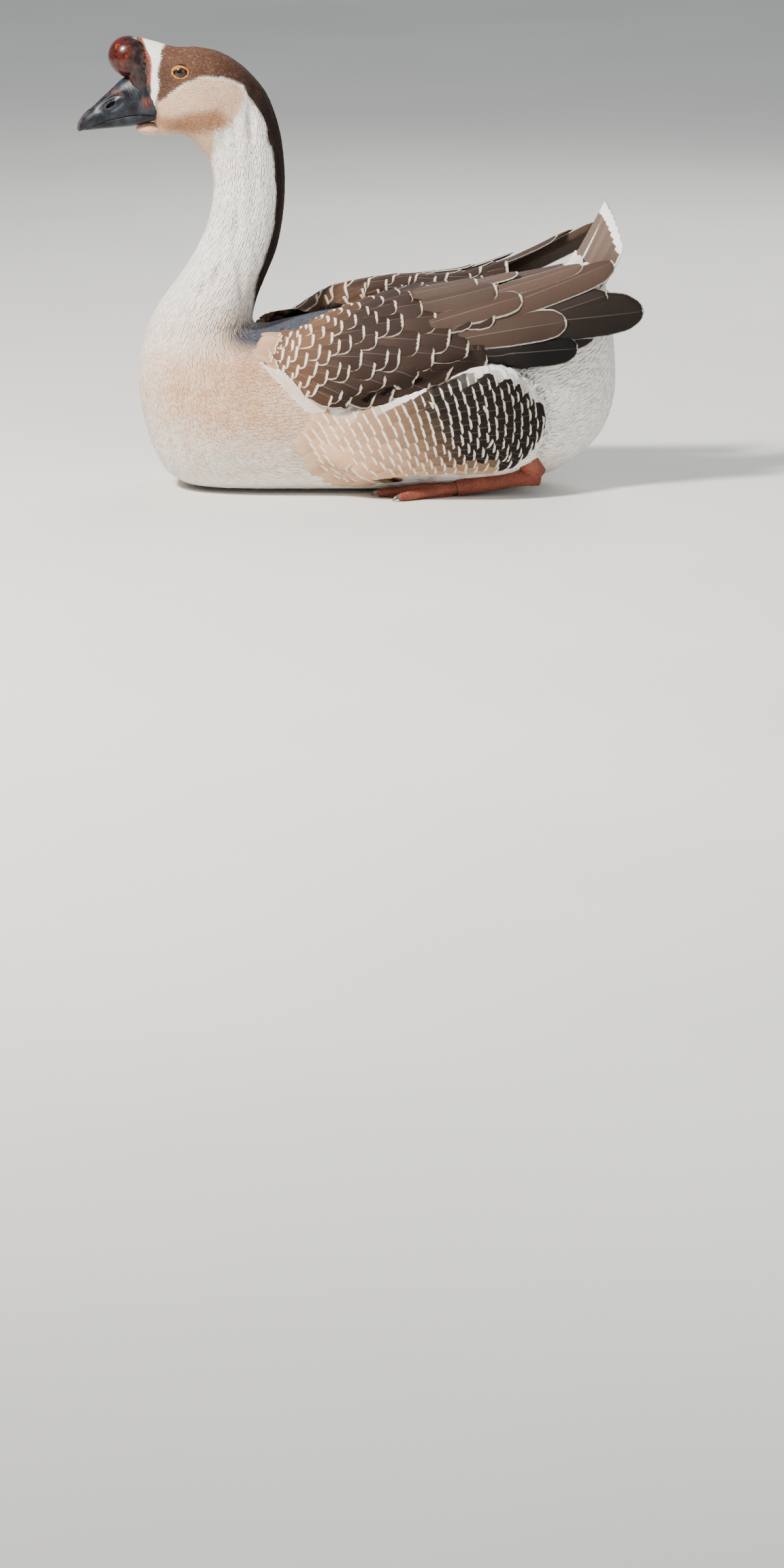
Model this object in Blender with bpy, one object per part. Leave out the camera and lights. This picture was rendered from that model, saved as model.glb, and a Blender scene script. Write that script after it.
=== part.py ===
"""A sitting African goose, life size, still, at rest on a flat floor.

+X runs from the bill to the tail, -Y is the goose's left side and +Z is up. The origin lies on the
floor under the middle of the goose's box. Sizes are in millimetres, and MM turns them into metres.
"""

import math
from collections import namedtuple

import bmesh
import bpy
import numpy as np

MM = 0.001
GAP = 0.35
LEFT, RIGHT = -1, 1
SIDES = {"left": LEFT, "right": RIGHT}

# The body is one loft from the face to the vent. Each station is a section between a point on the
# back line and a point on the front line, as (x, z) in the side view. half is half its width, level
# is where between the two it is widest, and upper and lower say how square the two halves are.
Station = namedtuple("Station", "back front half level upper lower")
BODY = {
    "face": Station((-251, 516.5), (-232.5, 416), 19, 0.50, 2.4, 2.4),
    "brow": Station((-229.5, 511), (-223, 404.5), 25.5, 0.52, 2.3, 2.3),
    "eye": Station((-208, 505.5), (-212.5, 404), 31, 0.53, 2.3, 2.3),
    "cheek": Station((-182.5, 505.5), (-201, 405), 34.5, 0.55, 2.2, 2.2),
    "nape_top": Station((-153, 498.5), (-189, 396.5), 35.5, 0.54, 2.1, 2.1),
    "nape": Station((-124, 478.5), (-179.5, 386), 34.5, 0.52, 2.1, 2.1),
    "throat": Station((-101.5, 448.5), (-171, 373.5), 33, 0.5, 2.0, 2.0),
    "upper_neck": Station((-87, 404.5), (-167.5, 350), 32.5, 0.5, 2.0, 2.0),
    "mid_neck": Station((-82, 355), (-170, 323.5), 33.5, 0.5, 2.0, 2.0),
    "low_neck": Station((-85, 310), (-179.5, 293), 37, 0.5, 2.0, 2.0),
    "neck_foot": Station((-94, 268), (-195, 264), 44, 0.5, 2.0, 2.0),
    "crop_top": Station((-108.5, 234), (-215, 236), 54, 0.5, 2.0, 2.0),
    "crop": Station((-116.5, 210), (-235, 207.5), 66, 0.5, 2.0, 2.05),
    "shoulder": Station((-118, 191), (-251, 172), 79, 0.5, 2.0, 2.1),
    "breast": Station((-100, 190), (-258, 127), 91, 0.5, 2.0, 2.2),
    "keel": Station((-72, 198), (-252.5, 82), 101, 0.5, 2.0, 2.3),
    "low_breast": Station((-38, 206), (-240, 42), 108, 0.5, 2.0, 2.4),
    "fore_belly": Station((0, 212), (-217, 9), 112, 0.5, 2.0, 2.4),
    "mid_belly": Station((45, 217), (-165, -7), 114, 0.52, 2.0, 2.4),
    "belly": Station((88, 220), (-70, -9), 115, 0.54, 2.0, 2.4),
    "hind_belly": Station((125, 223), (40, -9), 113, 0.55, 2.0, 2.4),
    "loin": Station((160, 228), (130, -7), 107, 0.55, 2.0, 2.3),
    "rump": Station((192, 235), (204, 6), 97, 0.54, 2.0, 2.2),
    "vent": Station((218, 243), (250, 27), 82, 0.53, 2.0, 2.1),
    "under_tail": Station((240, 250), (283, 60), 67, 0.52, 2.0, 2.0),
    "tail_root": Station((258, 255), (298, 102), 50, 0.5, 2.0, 2.0),
    "tail_base": Station((270, 258), (299, 150), 35, 0.5, 2.0, 2.0),
    "tail_foot": Station((281, 256), (293, 205), 20, 0.5, 2.0, 2.0),
}
BODY_ROWS = [[*s.back, *s.front, s.half, s.level, s.upper, s.lower] for s in BODY.values()]
STATION = {name: i for i, name in enumerate(BODY)}
HEAD_END = STATION["nape_top"] + 0.55
NECK_END = STATION["crop_top"] + 0.5
SEAM = 0.014

EYE_AT = (-201.5, 478.5)
EYE_RADIUS = 9.4
EYE_DEPTH = 5.6
LID_HALF = (8.8, 6.6)
LID_RADIUS, LID_RISE = 1.6, np.array((0, 1.5, 0))
LID_PROUD = 0.2
LID_STEPS, LID_SIDES = 14, 5

# The bill, from its root under the face to its tip: top point, bottom point, half width.
UPPER_BILL = [
    ((-226, 470), (-228, 426), 20.5),
    ((-243, 472), (-243, 428.5), 20.5),
    ((-257, 468), (-254, 431), 18.5),
    ((-270, 462), (-264, 430.5), 16.0),
    ((-281, 452.5), (-277, 427.5), 14.5),
    ((-291, 443.5), (-288, 424.5), 13.5),
    ((-302, 434.5), (-299, 420), 12.5),
    ((-313, 427), (-310, 413.5), 10.5),
    ((-319, 419), (-317, 409.8), 7.0),
    ((-320.3, 413.8), (-320, 410.3), 3.0),
]
LOWER_BILL = [
    ((-228, 426), (-230, 412), 17.0),
    ((-243, 428.5), (-243, 414), 17.0),
    ((-254, 431), (-254, 414.5), 15.5),
    ((-264, 430.5), (-264, 414), 14.0),
    ((-277, 427.5), (-277, 413), 12.5),
    ((-288, 424.5), (-288, 412), 11.5),
    ((-299, 420), (-299, 411), 10.0),
    ((-310, 413.5), (-310, 410), 7.0),
    ((-315, 411.7), (-315, 409.8), 4.0),
]
# How high up a bill section is widest, and how square its upper and lower halves are.
UPPER_BILL_FORM, LOWER_BILL_FORM = (0.72, 2.0, 4.0), (0.12, 4.0, 2.2)
NOSTRIL_AT = (-282.5, 16.0, 438.5)
NOSTRIL_HALF = (7.5, 5.0, 2.8)
NOSTRIL_TILT = math.radians(-30)
KNOB_LOBES = [((-261.5, 493.8), (23.3, 22.0, 23.8)), ((-249, 487), (14.5, 21.5, 27.0))]
CHIN_AT, CHIN_HALF = (-232, 409), (10, 8.5, 6)

# A wing's outer surface over the folded arm and the feathers behind it, station by station along x:
# half width at its widest and at its top edge, and the heights of its middle, top and low edges.
WING_RIBS = [
    (-96, 98, 58, 148, 189, 134),
    (-60, 113, 48, 138, 206, 119),
    (-20, 122, 40, 132, 219, 116),
    (40, 127, 31, 132, 233, 119),
    (100, 126, 25, 139, 238, 124),
    (160, 116, 24, 148, 247, 128),
    (220, 98, 27, 162, 258, 136),
    (322, 68, 38, 182, 268, 154),
]
# How much higher the top edge of the right wing lies than the left one, along x.
RIGHT_WING_RAISE = [
    (-96, 6), (-50, 17), (0, 14), (60, 7), (110, 8), (160, 15), (200, 25), (250, 39), (320, 52),
]
WING_FRONT = WING_RIBS[0][0]
# The folded arm under the feathers thins from ARM_THINS on to its end, and sinks under them.
ARM_THINS, ARM_END, ARM_SINK = 90, 150, 5.0
ARM_STEPS = 9
ARM_DEPTH, ARM_END_DEPTH = 22, 7
ARM_INNER, ARM_END_INNER = 0.72, 0.93
# A rib leans back by SLANT from its low to its top edge, and the wing's front edge is rounded:
# its ends lie up to NOSE further back than at the share NOSE_AT, fading over NOSE_FADE.
SLANT = 34
NOSE, NOSE_AT, NOSE_FADE = 34, 0.62, 110
# Rows of coverts from the front: x of the row's tips, feathers, length, lift at the tip.
COVERT_TIERS = [
    (-57, 4, 36, 2.0),
    (-25, 5, 42, 2.3),
    (9, 5, 48, 2.6),
    (47, 5, 55, 2.9),
    (90, 4, 62, 3.3),
    (138, 4, 70, 3.6),
]
COVERT_HEADINGS = (-22, 8)
COVERT_ROOT_DEPTH, FLIGHT_ROOT_DEPTH = -3.0, -6.0
COVERT_OVERLAP, COVERT_WAVER = 1.2, 4
# Long feathers of a wing: tip x, tip height, heading in degrees, length, width, lift at the tip.
FLIGHT_FEATHERS = [
    (250, 166, -5, 150, 32, 0.5),
    (272, 187, -1, 165, 31, 1.5),
    (240, 203, 2, 130, 31, 3.5),
    (319.2, 209, 0, 198, 40, 2.5),
    (300, 234, 8, 180, 30, 3.0),
    (240, 263, 2, 125, 36, 2.0),
    (262, 252, 5, 150, 32, 4.0),
    (303, 255, 13, 190, 31, 5.5),
    (258, 254, 14, 145, 28, 7.5),
]
# A vane's share of its full width at shares of its length, and its thickness at shaft and edges.
VANE_STEPS = [(0.0, 0.5), (0.45, 0.96), (0.82, 0.86), (1.0, 0.25)]
VANE_MIDDLE, VANE_EDGE = 1.4, 0.6
VANE_CUP = 0.012

# The tail is a roof-shaped fan of feathers round a fleshy bud, raised by TAIL_PITCH degrees.
TAIL_ROOT = (213, 203)
TAIL_PITCH = 58
TAIL_BUD_AT, TAIL_BUD_HALF = (235, 227), (58, 24, 15)
TAIL_FEATHERS = 11
TAIL_LENGTH, TAIL_SHORTER = 145, 0.14
TAIL_WIDTH = 28
TAIL_STEPS = [(0.0, 0.5), (0.6, 1.0), (0.9, 0.85), (1.0, 0.3)]
TAIL_SPREAD, TAIL_ROLL = 15, 50
TAIL_ROOT_HALF = 9.0
TAIL_DROP = (14, 17)
TAIL_RISE = 5.0

# A flank's feather pad over the thigh: x, middle height, half height, half width of the bird there.
FLANK = [
    (-72, 62, 9, 98),
    (-42, 64, 28, 112),
    (0, 66, 46, 122),
    (45, 76, 52, 129),
    (90, 86, 58, 133),
    (135, 94, 66, 133),
    (175, 93, 63, 124),
    (203, 88, 49, 108),
    (216, 88, 29, 97),
    (220, 88, 11, 91),
]
FLANK_DEPTH = 30
FLANK_STEPS, FLANK_AROUND = 15, 16

# The shank lies along the floor beside the belly, its hock a little raised.
HOCK = (203, 66, 22)
ANKLE = (112, 76, 9)
KNEE_WARDS = (184, 76, 56)
SHANK_RADII, THIGH_RADII = (13.0, 9.5, 8.5, 9.5), (13.0, 12.5, 14.0)
FOOT_DROP = 2.5
TOE_TIPS = {"inner": (40, 54, 4.2), "middle": (22, 82, 4.6), "outer": (46, 109, 4.2)}
TOE_RADII, CLAW_RADII = (6.8, 5.4, 4.4), (3.2, 2.4, 0.8)
CLAW_STARTS, CLAW_BEND, CLAW_LENGTH, CLAW_DROP = -2, 4, 8, 1.5
HIND_TOE, HIND_RADII = (132, 62, 5.5), (5.0, 2.6)
WEB_TOP, WEB_REACH = 3.4, 0.9


def spline(rows, t):
    """A Catmull-Rom curve through rows, one row at each whole t."""
    rows = np.asarray(rows, float)
    i = min(max(int(t), 0), len(rows) - 2)
    f = t - i
    before, here = rows[max(i - 1, 0)], rows[i]
    after, later = rows[i + 1], rows[min(i + 2, len(rows) - 1)]
    bend = 2 * before - 5 * here + 4 * after - later
    return 0.5 * (2 * here + (after - before) * f + bend * f**2
                  + (3 * here - before - 3 * after + later) * f**3)


def signed_power(value, power):
    return math.copysign(abs(value) ** power, value)


def section(back, front, half, level, upper, lower, around):
    """One closed ring between a back point and a front point, as points (x, y, z)."""
    ring = []
    for k in range(around):
        angle = 2 * math.pi * k / around
        c, s = math.cos(angle), math.sin(angle)
        power = 2 / (upper if c > 0 else lower)
        reach = abs(c) ** power
        along = level * (1 - reach) if c > 0 else level + (1 - level) * reach
        x = back[0] + (front[0] - back[0]) * along
        z = back[1] + (front[1] - back[1]) * along
        ring.append((x, -half * signed_power(s, power), max(z, 0.0)))
    return ring


def body_ring(s, around):
    bx, bz, fx, fz, half, level, upper, lower = spline(BODY_ROWS, s)
    return section((bx, bz), (fx, fz), half, level, upper, lower, around)


def loft(rings):
    """Points and faces of a closed skin over rings of equal count, with a fan at each end."""
    count = len(rings[0])
    points = [p for ring in rings for p in ring]
    faces = []
    for i in range(len(rings) - 1):
        for k in range(count):
            a, b = i * count + k, i * count + (k + 1) % count
            faces.append((a, b, b + count, a + count))
    for ring, start in ((rings[0], 0), (rings[-1], (len(rings) - 1) * count)):
        points.append(tuple(np.mean(np.asarray(ring, float), axis=0)))
        faces += [(start + k, start + (k + 1) % count, len(points) - 1) for k in range(count)]
    return points, faces


def material(name, colour, roughness, metallic=0.0):
    made = bpy.data.materials.new(name)
    made.use_nodes = True
    shader = made.node_tree.nodes["Principled BSDF"]
    shader.inputs["Base Color"].default_value = (*[(c / 255) ** 2.2 for c in colour], 1)
    shader.inputs["Roughness"].default_value = roughness
    shader.inputs["Metallic"].default_value = metallic
    return made


def solid(name, shape, look=None):
    """A mesh object from points in millimetres and faces, with all faces pointing out."""
    points, faces = shape
    mesh = bpy.data.meshes.new(name)
    mesh.from_pydata((np.asarray(points, float) * MM).tolist(), [], faces)
    bm = bmesh.new()
    bm.from_mesh(mesh)
    bmesh.ops.remove_doubles(bm, verts=bm.verts, dist=0.02 * MM)
    bmesh.ops.recalc_face_normals(bm, faces=bm.faces)
    bmesh.ops.triangulate(bm, faces=bm.faces)
    bm.to_mesh(mesh)
    bm.free()
    obj = bpy.data.objects.new(name, mesh)
    bpy.context.scene.collection.objects.link(obj)
    if look:
        mesh.materials.append(look)
    return obj


def ellipsoid(centre, halves, steps=8, tilt=0.0):
    """A closed ball with its poles along X, tilted about Y by tilt."""
    rings = []
    for i in range(1, steps):
        polar = math.pi * i / steps
        ring = []
        for k in range(2 * steps):
            turn = math.pi * k / steps
            x = -math.cos(polar) * halves[0]
            y = math.sin(polar) * math.cos(turn) * halves[1]
            z = math.sin(polar) * math.sin(turn) * halves[2]
            ring.append((x * math.cos(tilt) + z * math.sin(tilt) + centre[0], y + centre[1],
                         z * math.cos(tilt) - x * math.sin(tilt) + centre[2]))
        rings.append(ring)
    return loft(rings)


def tube(path, radii, around=8):
    """A closed tube along a path of points, kept above the floor."""
    path = np.asarray(path, float)
    rings = []
    for i, at in enumerate(path):
        ahead = path[min(i + 1, len(path) - 1)] - path[max(i - 1, 0)]
        ahead /= np.linalg.norm(ahead)
        side = np.cross(ahead, (0.0, 0.0, 1.0))
        side = side / np.linalg.norm(side) if np.linalg.norm(side) > 0.05 else np.array((0, 1.0, 0))
        up = np.cross(side, ahead)
        ring = []
        for k in range(around):
            turn = 2 * math.pi * k / around
            p = at + radii[i] * (math.cos(turn) * side + math.sin(turn) * up)
            ring.append((p[0], p[1], max(p[2], 0.0)))
        rings.append(ring)
    return loft(rings)


def with_modifier(obj, name, kind, **settings):
    """The object's mesh replaced by what one modifier makes of it."""
    modifier = obj.modifiers.new(name, kind)
    for key, value in settings.items():
        setattr(modifier, key, value)
    graph = bpy.context.evaluated_depsgraph_get()
    made = bpy.data.meshes.new_from_object(obj.evaluated_get(graph))
    obj.modifiers.clear()
    old, obj.data = obj.data, made
    bpy.data.meshes.remove(old)


def keep_largest(obj):
    """Drops every closed surface of the object but the one with the largest box."""
    bm = bmesh.new()
    bm.from_mesh(obj.data)
    seen, groups = set(), []
    for start in bm.faces:
        if start in seen:
            continue
        group, front = [], [start]
        seen.add(start)
        while front:
            here = front.pop()
            group.append(here)
            for edge in here.edges:
                for other in edge.link_faces:
                    if other not in seen:
                        seen.add(other)
                        front.append(other)
        groups.append(group)

    def reach(group):
        spots = np.array([v.co for face in group for v in face.verts])
        return float(np.prod(np.ptp(spots, axis=0) + MM))

    groups.sort(key=reach)
    bmesh.ops.delete(bm, geom=[face for group in groups[:-1] for face in group], context="FACES")
    bm.to_mesh(obj.data)
    bm.free()


def fuse(obj, shapes):
    """Joins the closed shapes to the object in one union."""
    group = bpy.data.collections.new(obj.name + "_pieces")
    bpy.context.scene.collection.children.link(group)
    for i, shape in enumerate(shapes):
        piece = solid(f"{obj.name}_piece_{i}", shape)
        bpy.context.scene.collection.objects.unlink(piece)
        group.objects.link(piece)
    with_modifier(obj, "Join", "BOOLEAN", operation="UNION", operand_type="COLLECTION",
                  collection=group, solver="MANIFOLD")
    for piece in list(group.objects):
        bpy.data.objects.remove(piece)
    bpy.data.collections.remove(group)
    keep_largest(obj)


def swollen(obj):
    """A helper copy of the object, pushed out along its normals."""
    copy = bpy.data.objects.new(obj.name + "_swollen", obj.data.copy())
    bpy.context.scene.collection.objects.link(copy)
    normals = [v.normal.copy() for v in copy.data.vertices]
    for vertex, normal in zip(copy.data.vertices, normals):
        vertex.co += normal * GAP * MM
    return copy


def carve(obj, cutter):
    """Cuts the cutter's shape out of the object, and removes the cutter."""
    with_modifier(obj, "Carve", "BOOLEAN", operation="DIFFERENCE", object=cutter, solver="MANIFOLD")
    bpy.data.objects.remove(cutter)


def cut_clear(obj, *neighbours):
    """Cuts the object back from its neighbours, so that they meet face to face."""
    for neighbour in neighbours:
        cutter = swollen(neighbour)
        carve(obj, cutter)
    keep_largest(obj)


def drill(obj, shapes):
    for shape in shapes:
        carve(obj, solid(obj.name + "_cutter", shape))


def body_node(name, start, end, steps, around, look):
    spots = np.linspace(start, end, steps)
    return solid(name, loft([body_ring(s, around) for s in spots]), look)


class WingSurface:
    """The smooth outer surface that a wing's feathers lie on, on one side of the bird."""

    def __init__(self, side):
        self.side = side

    def rib(self, x):
        stations = [row[0] for row in WING_RIBS]
        t = float(np.interp(x, stations, range(len(stations))))
        return spline([row[1:] for row in WING_RIBS], t)

    def arc(self, x):
        wide, top, middle, high, low = self.rib(x)
        return 1.15 * math.hypot(wide - top, high - middle) + middle - low

    def point(self, x, v, lift):
        """The point at x and share v of the way from the low edge to the top edge."""
        wide, top, middle, high, low = self.rib(x)
        first = math.asin(max(-0.9, (low - middle) / (high - middle)))
        angle = first + (math.pi / 2 - first) * v
        out = np.array((math.cos(angle) / (wide - top), math.sin(angle) / (high - middle)))
        out /= np.linalg.norm(out)
        y = top + (wide - top) * math.cos(angle) + out[0] * lift
        z = middle + (high - middle) * math.sin(angle) + out[1] * lift
        nose = NOSE * ((v - NOSE_AT) / NOSE_AT)**2 * max(0.0, 1 - (x - WING_FRONT) / NOSE_FADE)
        if self.side == RIGHT:
            z += v * float(np.interp(x, *zip(*RIGHT_WING_RAISE)))
        return (x + SLANT * (v - 0.5) + nose, self.side * y, z)

    def share_at(self, x, z):
        """The share v at which the surface at x has the height z."""
        shares = np.linspace(0, 1, 60)
        heights = [self.point(x, v, 0)[2] for v in shares]
        return float(np.interp(z, heights, shares))


def vane(surface, tip_x, tip_v, heading, length, width, lifts):
    """A closed feather laid on a wing's surface, from its sunk root to its lifted tip."""
    arc = surface.arc(tip_x - length / 2)
    turn = math.radians(heading)
    rings = []
    for share, wide in VANE_STEPS:
        back = (1 - share) * length
        lift = lifts[0] + (lifts[1] - lifts[0]) * share
        half = width / 2 * wide

        def spot(across, up):
            x = tip_x - back * math.cos(turn) - across * math.sin(turn)
            v = tip_v + (-back * math.sin(turn) + across * math.cos(turn)) / arc
            return surface.point(x, v, lift + up)

        under = -VANE_CUP * width
        over = under + VANE_EDGE
        rings.append([spot(-half, under), spot(-half, over), spot(0, VANE_MIDDLE),
                      spot(half, over), spot(half, under)])
    return loft(rings)


def wing_core(surface):
    """The folded arm under the feathers: a thick shell that thins out under the long feathers."""
    rings = []
    for x in np.linspace(WING_FRONT, ARM_END, ARM_STEPS):
        thinned = max(0.0, (x - ARM_THINS) / (ARM_END - ARM_THINS))
        sink = ARM_SINK * thinned
        depth = ARM_DEPTH + (ARM_END_DEPTH - ARM_DEPTH) * thinned
        inwards = ARM_INNER + (ARM_END_INNER - ARM_INNER) * thinned
        outer = [surface.point(x, v, -sink) for v in np.linspace(0, 1, 9)]
        inner = [(p[0], p[1] * inwards, p[2] - depth) for p in outer[::-2]]
        rings.append(outer + inner)
    return loft(rings)


def covert_vanes(surface):
    vanes = []
    for row, (tip_x, count, length, lift) in enumerate(COVERT_TIERS):
        for k in range(count):
            share = (k + (0.25 if row % 2 else 0.75)) / count
            heading = COVERT_HEADINGS[0] + (COVERT_HEADINGS[1] - COVERT_HEADINGS[0]) * share
            width = COVERT_OVERLAP * surface.arc(tip_x) / count
            tip = tip_x + COVERT_WAVER * math.sin(2.1 * k + row)
            lifts = (COVERT_ROOT_DEPTH, lift)
            vanes.append(vane(surface, tip, share, heading, length, width, lifts))
    return vanes


def flight_vanes(surface):
    vanes = []
    for tip_x, height, heading, length, width, lift in FLIGHT_FEATHERS:
        share = surface.share_at(tip_x, height)
        x = tip_x - SLANT * (share - 0.5)
        lifts = (lift + FLIGHT_ROOT_DEPTH, lift)
        vanes.append(vane(surface, x, share, heading, length, width, lifts))
    return vanes


def flank_shape(side):
    """The pad of flank feathers over the thigh, blunt at its edges."""
    rings = []
    for t in np.linspace(0, len(FLANK) - 1, FLANK_STEPS):
        x, middle, half, width = spline(FLANK, t)
        ring = []
        for k in range(FLANK_AROUND):
            turn = 2 * math.pi * k / FLANK_AROUND
            y = width - FLANK_DEPTH + FLANK_DEPTH * signed_power(math.cos(turn), 2 / 2.8)
            z = middle + half * signed_power(math.sin(turn), 2 / 2.4)
            ring.append((x, side * y, z))
        rings.append(ring)
    return loft(rings)


def lid_ring(y):
    """The bare rim round an eye, as a ring that stands out of the head."""
    rings = []
    for i in range(LID_STEPS):
        turn = 2 * math.pi * i / LID_STEPS
        out = np.array((math.cos(turn), 0, math.sin(turn)))
        at = np.array((EYE_AT[0], y, EYE_AT[1])) + out * (LID_HALF[0], 0, LID_HALF[1])
        ring = []
        for a in np.linspace(0, 2 * math.pi, LID_SIDES, endpoint=False):
            ring.append(tuple(at + LID_RADIUS * (math.cos(a) * out + math.sin(a) * LID_RISE)))
        rings.append(ring)
    points = [p for ring in rings for p in ring]
    faces = []
    for i in range(LID_STEPS):
        for k in range(LID_SIDES):
            j, m = (i + 1) % LID_STEPS, (k + 1) % LID_SIDES
            faces.append([LID_SIDES * a + b for a, b in ((i, k), (i, m), (j, m), (j, k))])
    return points, faces


def body_half_width(x, z, near):
    """The half width of the body's surface at a point of the side view, by sections near one."""
    best = (1e9, 0.0)
    for s in np.linspace(near - 1.5, near + 1.5, 60):
        for p in body_ring(s, 96):
            best = min(best, (math.hypot(p[0] - x, p[2] - z), abs(p[1])))
    return best[1]


def bill_shape(rows, form, steps, around):
    flat = [(*top, *bottom, half) for top, bottom, half in rows]
    rings = []
    for t in np.linspace(0, len(rows) - 1, steps):
        tx, tz, bx, bz, half = spline(flat, t)
        rings.append(section((tx, tz), (bx, bz), half, *form, around))
    return loft(rings)


def foot_shapes(side):
    """The three front toes, their webs, the hind toe and the toes' claws, flat on the floor."""
    ankle = np.array((ANKLE[0], side * ANKLE[1], ANKLE[2] - FOOT_DROP))
    shapes = []
    tips = [np.array((x, side * y, z)) for x, y, z in TOE_TIPS.values()]
    for tip in tips:
        middle = (ankle + tip) / 2 + np.array((0, 0, 1.0))
        shapes.append(tube([ankle, middle, tip], TOE_RADII))
        ahead = (tip - ankle) / np.linalg.norm(tip - ankle)
        claw = [tip + CLAW_STARTS * ahead, tip + CLAW_BEND * ahead, tip + CLAW_LENGTH * ahead]
        claw[-1] = claw[-1] - np.array((0, 0, CLAW_DROP))
        shapes.append(tube(claw, CLAW_RADII, 6))
    for one, other in ((0, 1), (1, 2)):
        web_end = WEB_REACH * (tips[one] + tips[other]) / 2 + (1 - WEB_REACH) * ankle
        outline = [ankle, tips[one], web_end, tips[other]]
        low = [(p[0], p[1], 0.0) for p in outline]
        high = [(p[0], p[1], WEB_TOP) for p in outline]
        walls = [(k, (k + 1) % 4, (k + 1) % 4 + 4, k + 4) for k in range(4)]
        shapes.append((low + high, [(0, 1, 2, 3), (4, 5, 6, 7), *walls]))
    hind = np.array((HIND_TOE[0], side * HIND_TOE[1], HIND_TOE[2]))
    shapes.append(tube([ankle + np.array((6, 0, 0)), hind], HIND_RADII, 6))
    return shapes


def leg_shapes(side):
    hock = np.array((HOCK[0], side * HOCK[1], HOCK[2]))
    ankle = np.array((ANKLE[0], side * ANKLE[1], ANKLE[2]))
    knee = np.array((KNEE_WARDS[0], side * KNEE_WARDS[1], KNEE_WARDS[2]))
    shank = [hock, hock * 0.7 + ankle * 0.3, hock * 0.3 + ankle * 0.7, ankle]
    thigh = [hock + (3, 0, 0), (hock + knee) / 2, knee]
    return tube(shank, SHANK_RADII, 10), tube(thigh, THIGH_RADII, 10)


def tail_vane(k):
    """Tail feather k of a roof-shaped fan, counted from the left side."""
    share = 2 * k / (TAIL_FEATHERS - 1) - 1
    pitch, yaw = math.radians(TAIL_PITCH), math.radians(TAIL_SPREAD * share)
    roll = math.radians(TAIL_ROLL * share)
    ahead = np.array((math.cos(pitch) * math.cos(yaw), math.sin(yaw), math.sin(pitch) * math.cos(yaw)))
    level_side = np.cross((-math.sin(pitch), 0, math.cos(pitch)), ahead)
    up = np.cross(ahead, level_side)
    side = level_side * math.cos(roll) - up * math.sin(roll)
    normal = np.cross(ahead, side)
    drop = TAIL_DROP[0] * share**2 + TAIL_DROP[1] * abs(share)
    root = np.array((TAIL_ROOT[0], TAIL_ROOT_HALF * share, TAIL_ROOT[1])) - up * drop
    length = TAIL_LENGTH * (1 - TAIL_SHORTER * share**2)
    rings = []
    for along, wide in TAIL_STEPS:
        at = root + ahead * length * along + up * TAIL_RISE * along**2
        half = TAIL_WIDTH / 2 * wide
        outline = [(-half, 0), (-half, VANE_EDGE), (0, VANE_MIDDLE), (half, VANE_EDGE), (half, 0)]
        rings.append([tuple(at + side * across + normal * height) for across, height in outline])
    return loft(rings)


def build_head(look, eye_look, knob_look, bill_look):
    head = body_node("head", 0, HEAD_END - SEAM, 14, 28, look)
    half = body_half_width(*EYE_AT, STATION["eye"])
    eyes, pieces = [], [ellipsoid((CHIN_AT[0], 0, CHIN_AT[1]), CHIN_HALF, 6)]
    for name, side in SIDES.items():
        ball = ellipsoid((EYE_AT[0], side * (half - EYE_DEPTH), EYE_AT[1]), (EYE_RADIUS,) * 3, 7)
        eyes.append(solid(f"eye_{name}", ball, eye_look))
        pieces.append(lid_ring(side * (half + LID_PROUD)))
    fuse(head, pieces)
    cut_clear(head, *eyes)
    first, second = [ellipsoid((x, 0, z), halves, 8) for (x, z), halves in KNOB_LOBES]
    knob = solid("knob", first, knob_look)
    fuse(knob, [second])
    cut_clear(knob, head)
    lower = solid("bill_lower", bill_shape(LOWER_BILL, LOWER_BILL_FORM, 11, 16), bill_look)
    cut_clear(lower, head)
    upper = solid("bill_upper", bill_shape(UPPER_BILL, UPPER_BILL_FORM, 12, 18), bill_look)
    x, out, z = NOSTRIL_AT
    drill(upper, [ellipsoid((x, side * out, z), NOSTRIL_HALF, 6, NOSTRIL_TILT)
                  for side in SIDES.values()])
    cut_clear(upper, head, knob, lower)


def build_wing(name, side, torso, flank, look):
    surface = WingSurface(side)
    wing = solid(name, wing_core(surface), look)
    fuse(wing, covert_vanes(surface) + flight_vanes(surface))
    cut_clear(wing, torso, flank)


def build_tail(torso, look):
    bud_at = (TAIL_BUD_AT[0], 0, TAIL_BUD_AT[1])
    tail = solid("tail", ellipsoid(bud_at, TAIL_BUD_HALF, 6, math.radians(-TAIL_PITCH)), look)
    fuse(tail, [tail_vane(k) for k in range(TAIL_FEATHERS)])
    cut_clear(tail, torso)


def build_leg(name, side, torso, flank, look):
    shank, thigh = leg_shapes(side)
    leg = solid(f"leg_{name}", shank, look)
    fuse(leg, [thigh])
    cut_clear(leg, torso, flank)
    shapes = foot_shapes(side)
    foot = solid(f"foot_{name}", shapes[0], look)
    fuse(foot, shapes[1:])
    cut_clear(foot, leg, torso, flank)


def shade(obj):
    obj.data.shade_smooth()
    obj.data.set_sharp_from_angle(angle=math.radians(40))


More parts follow.
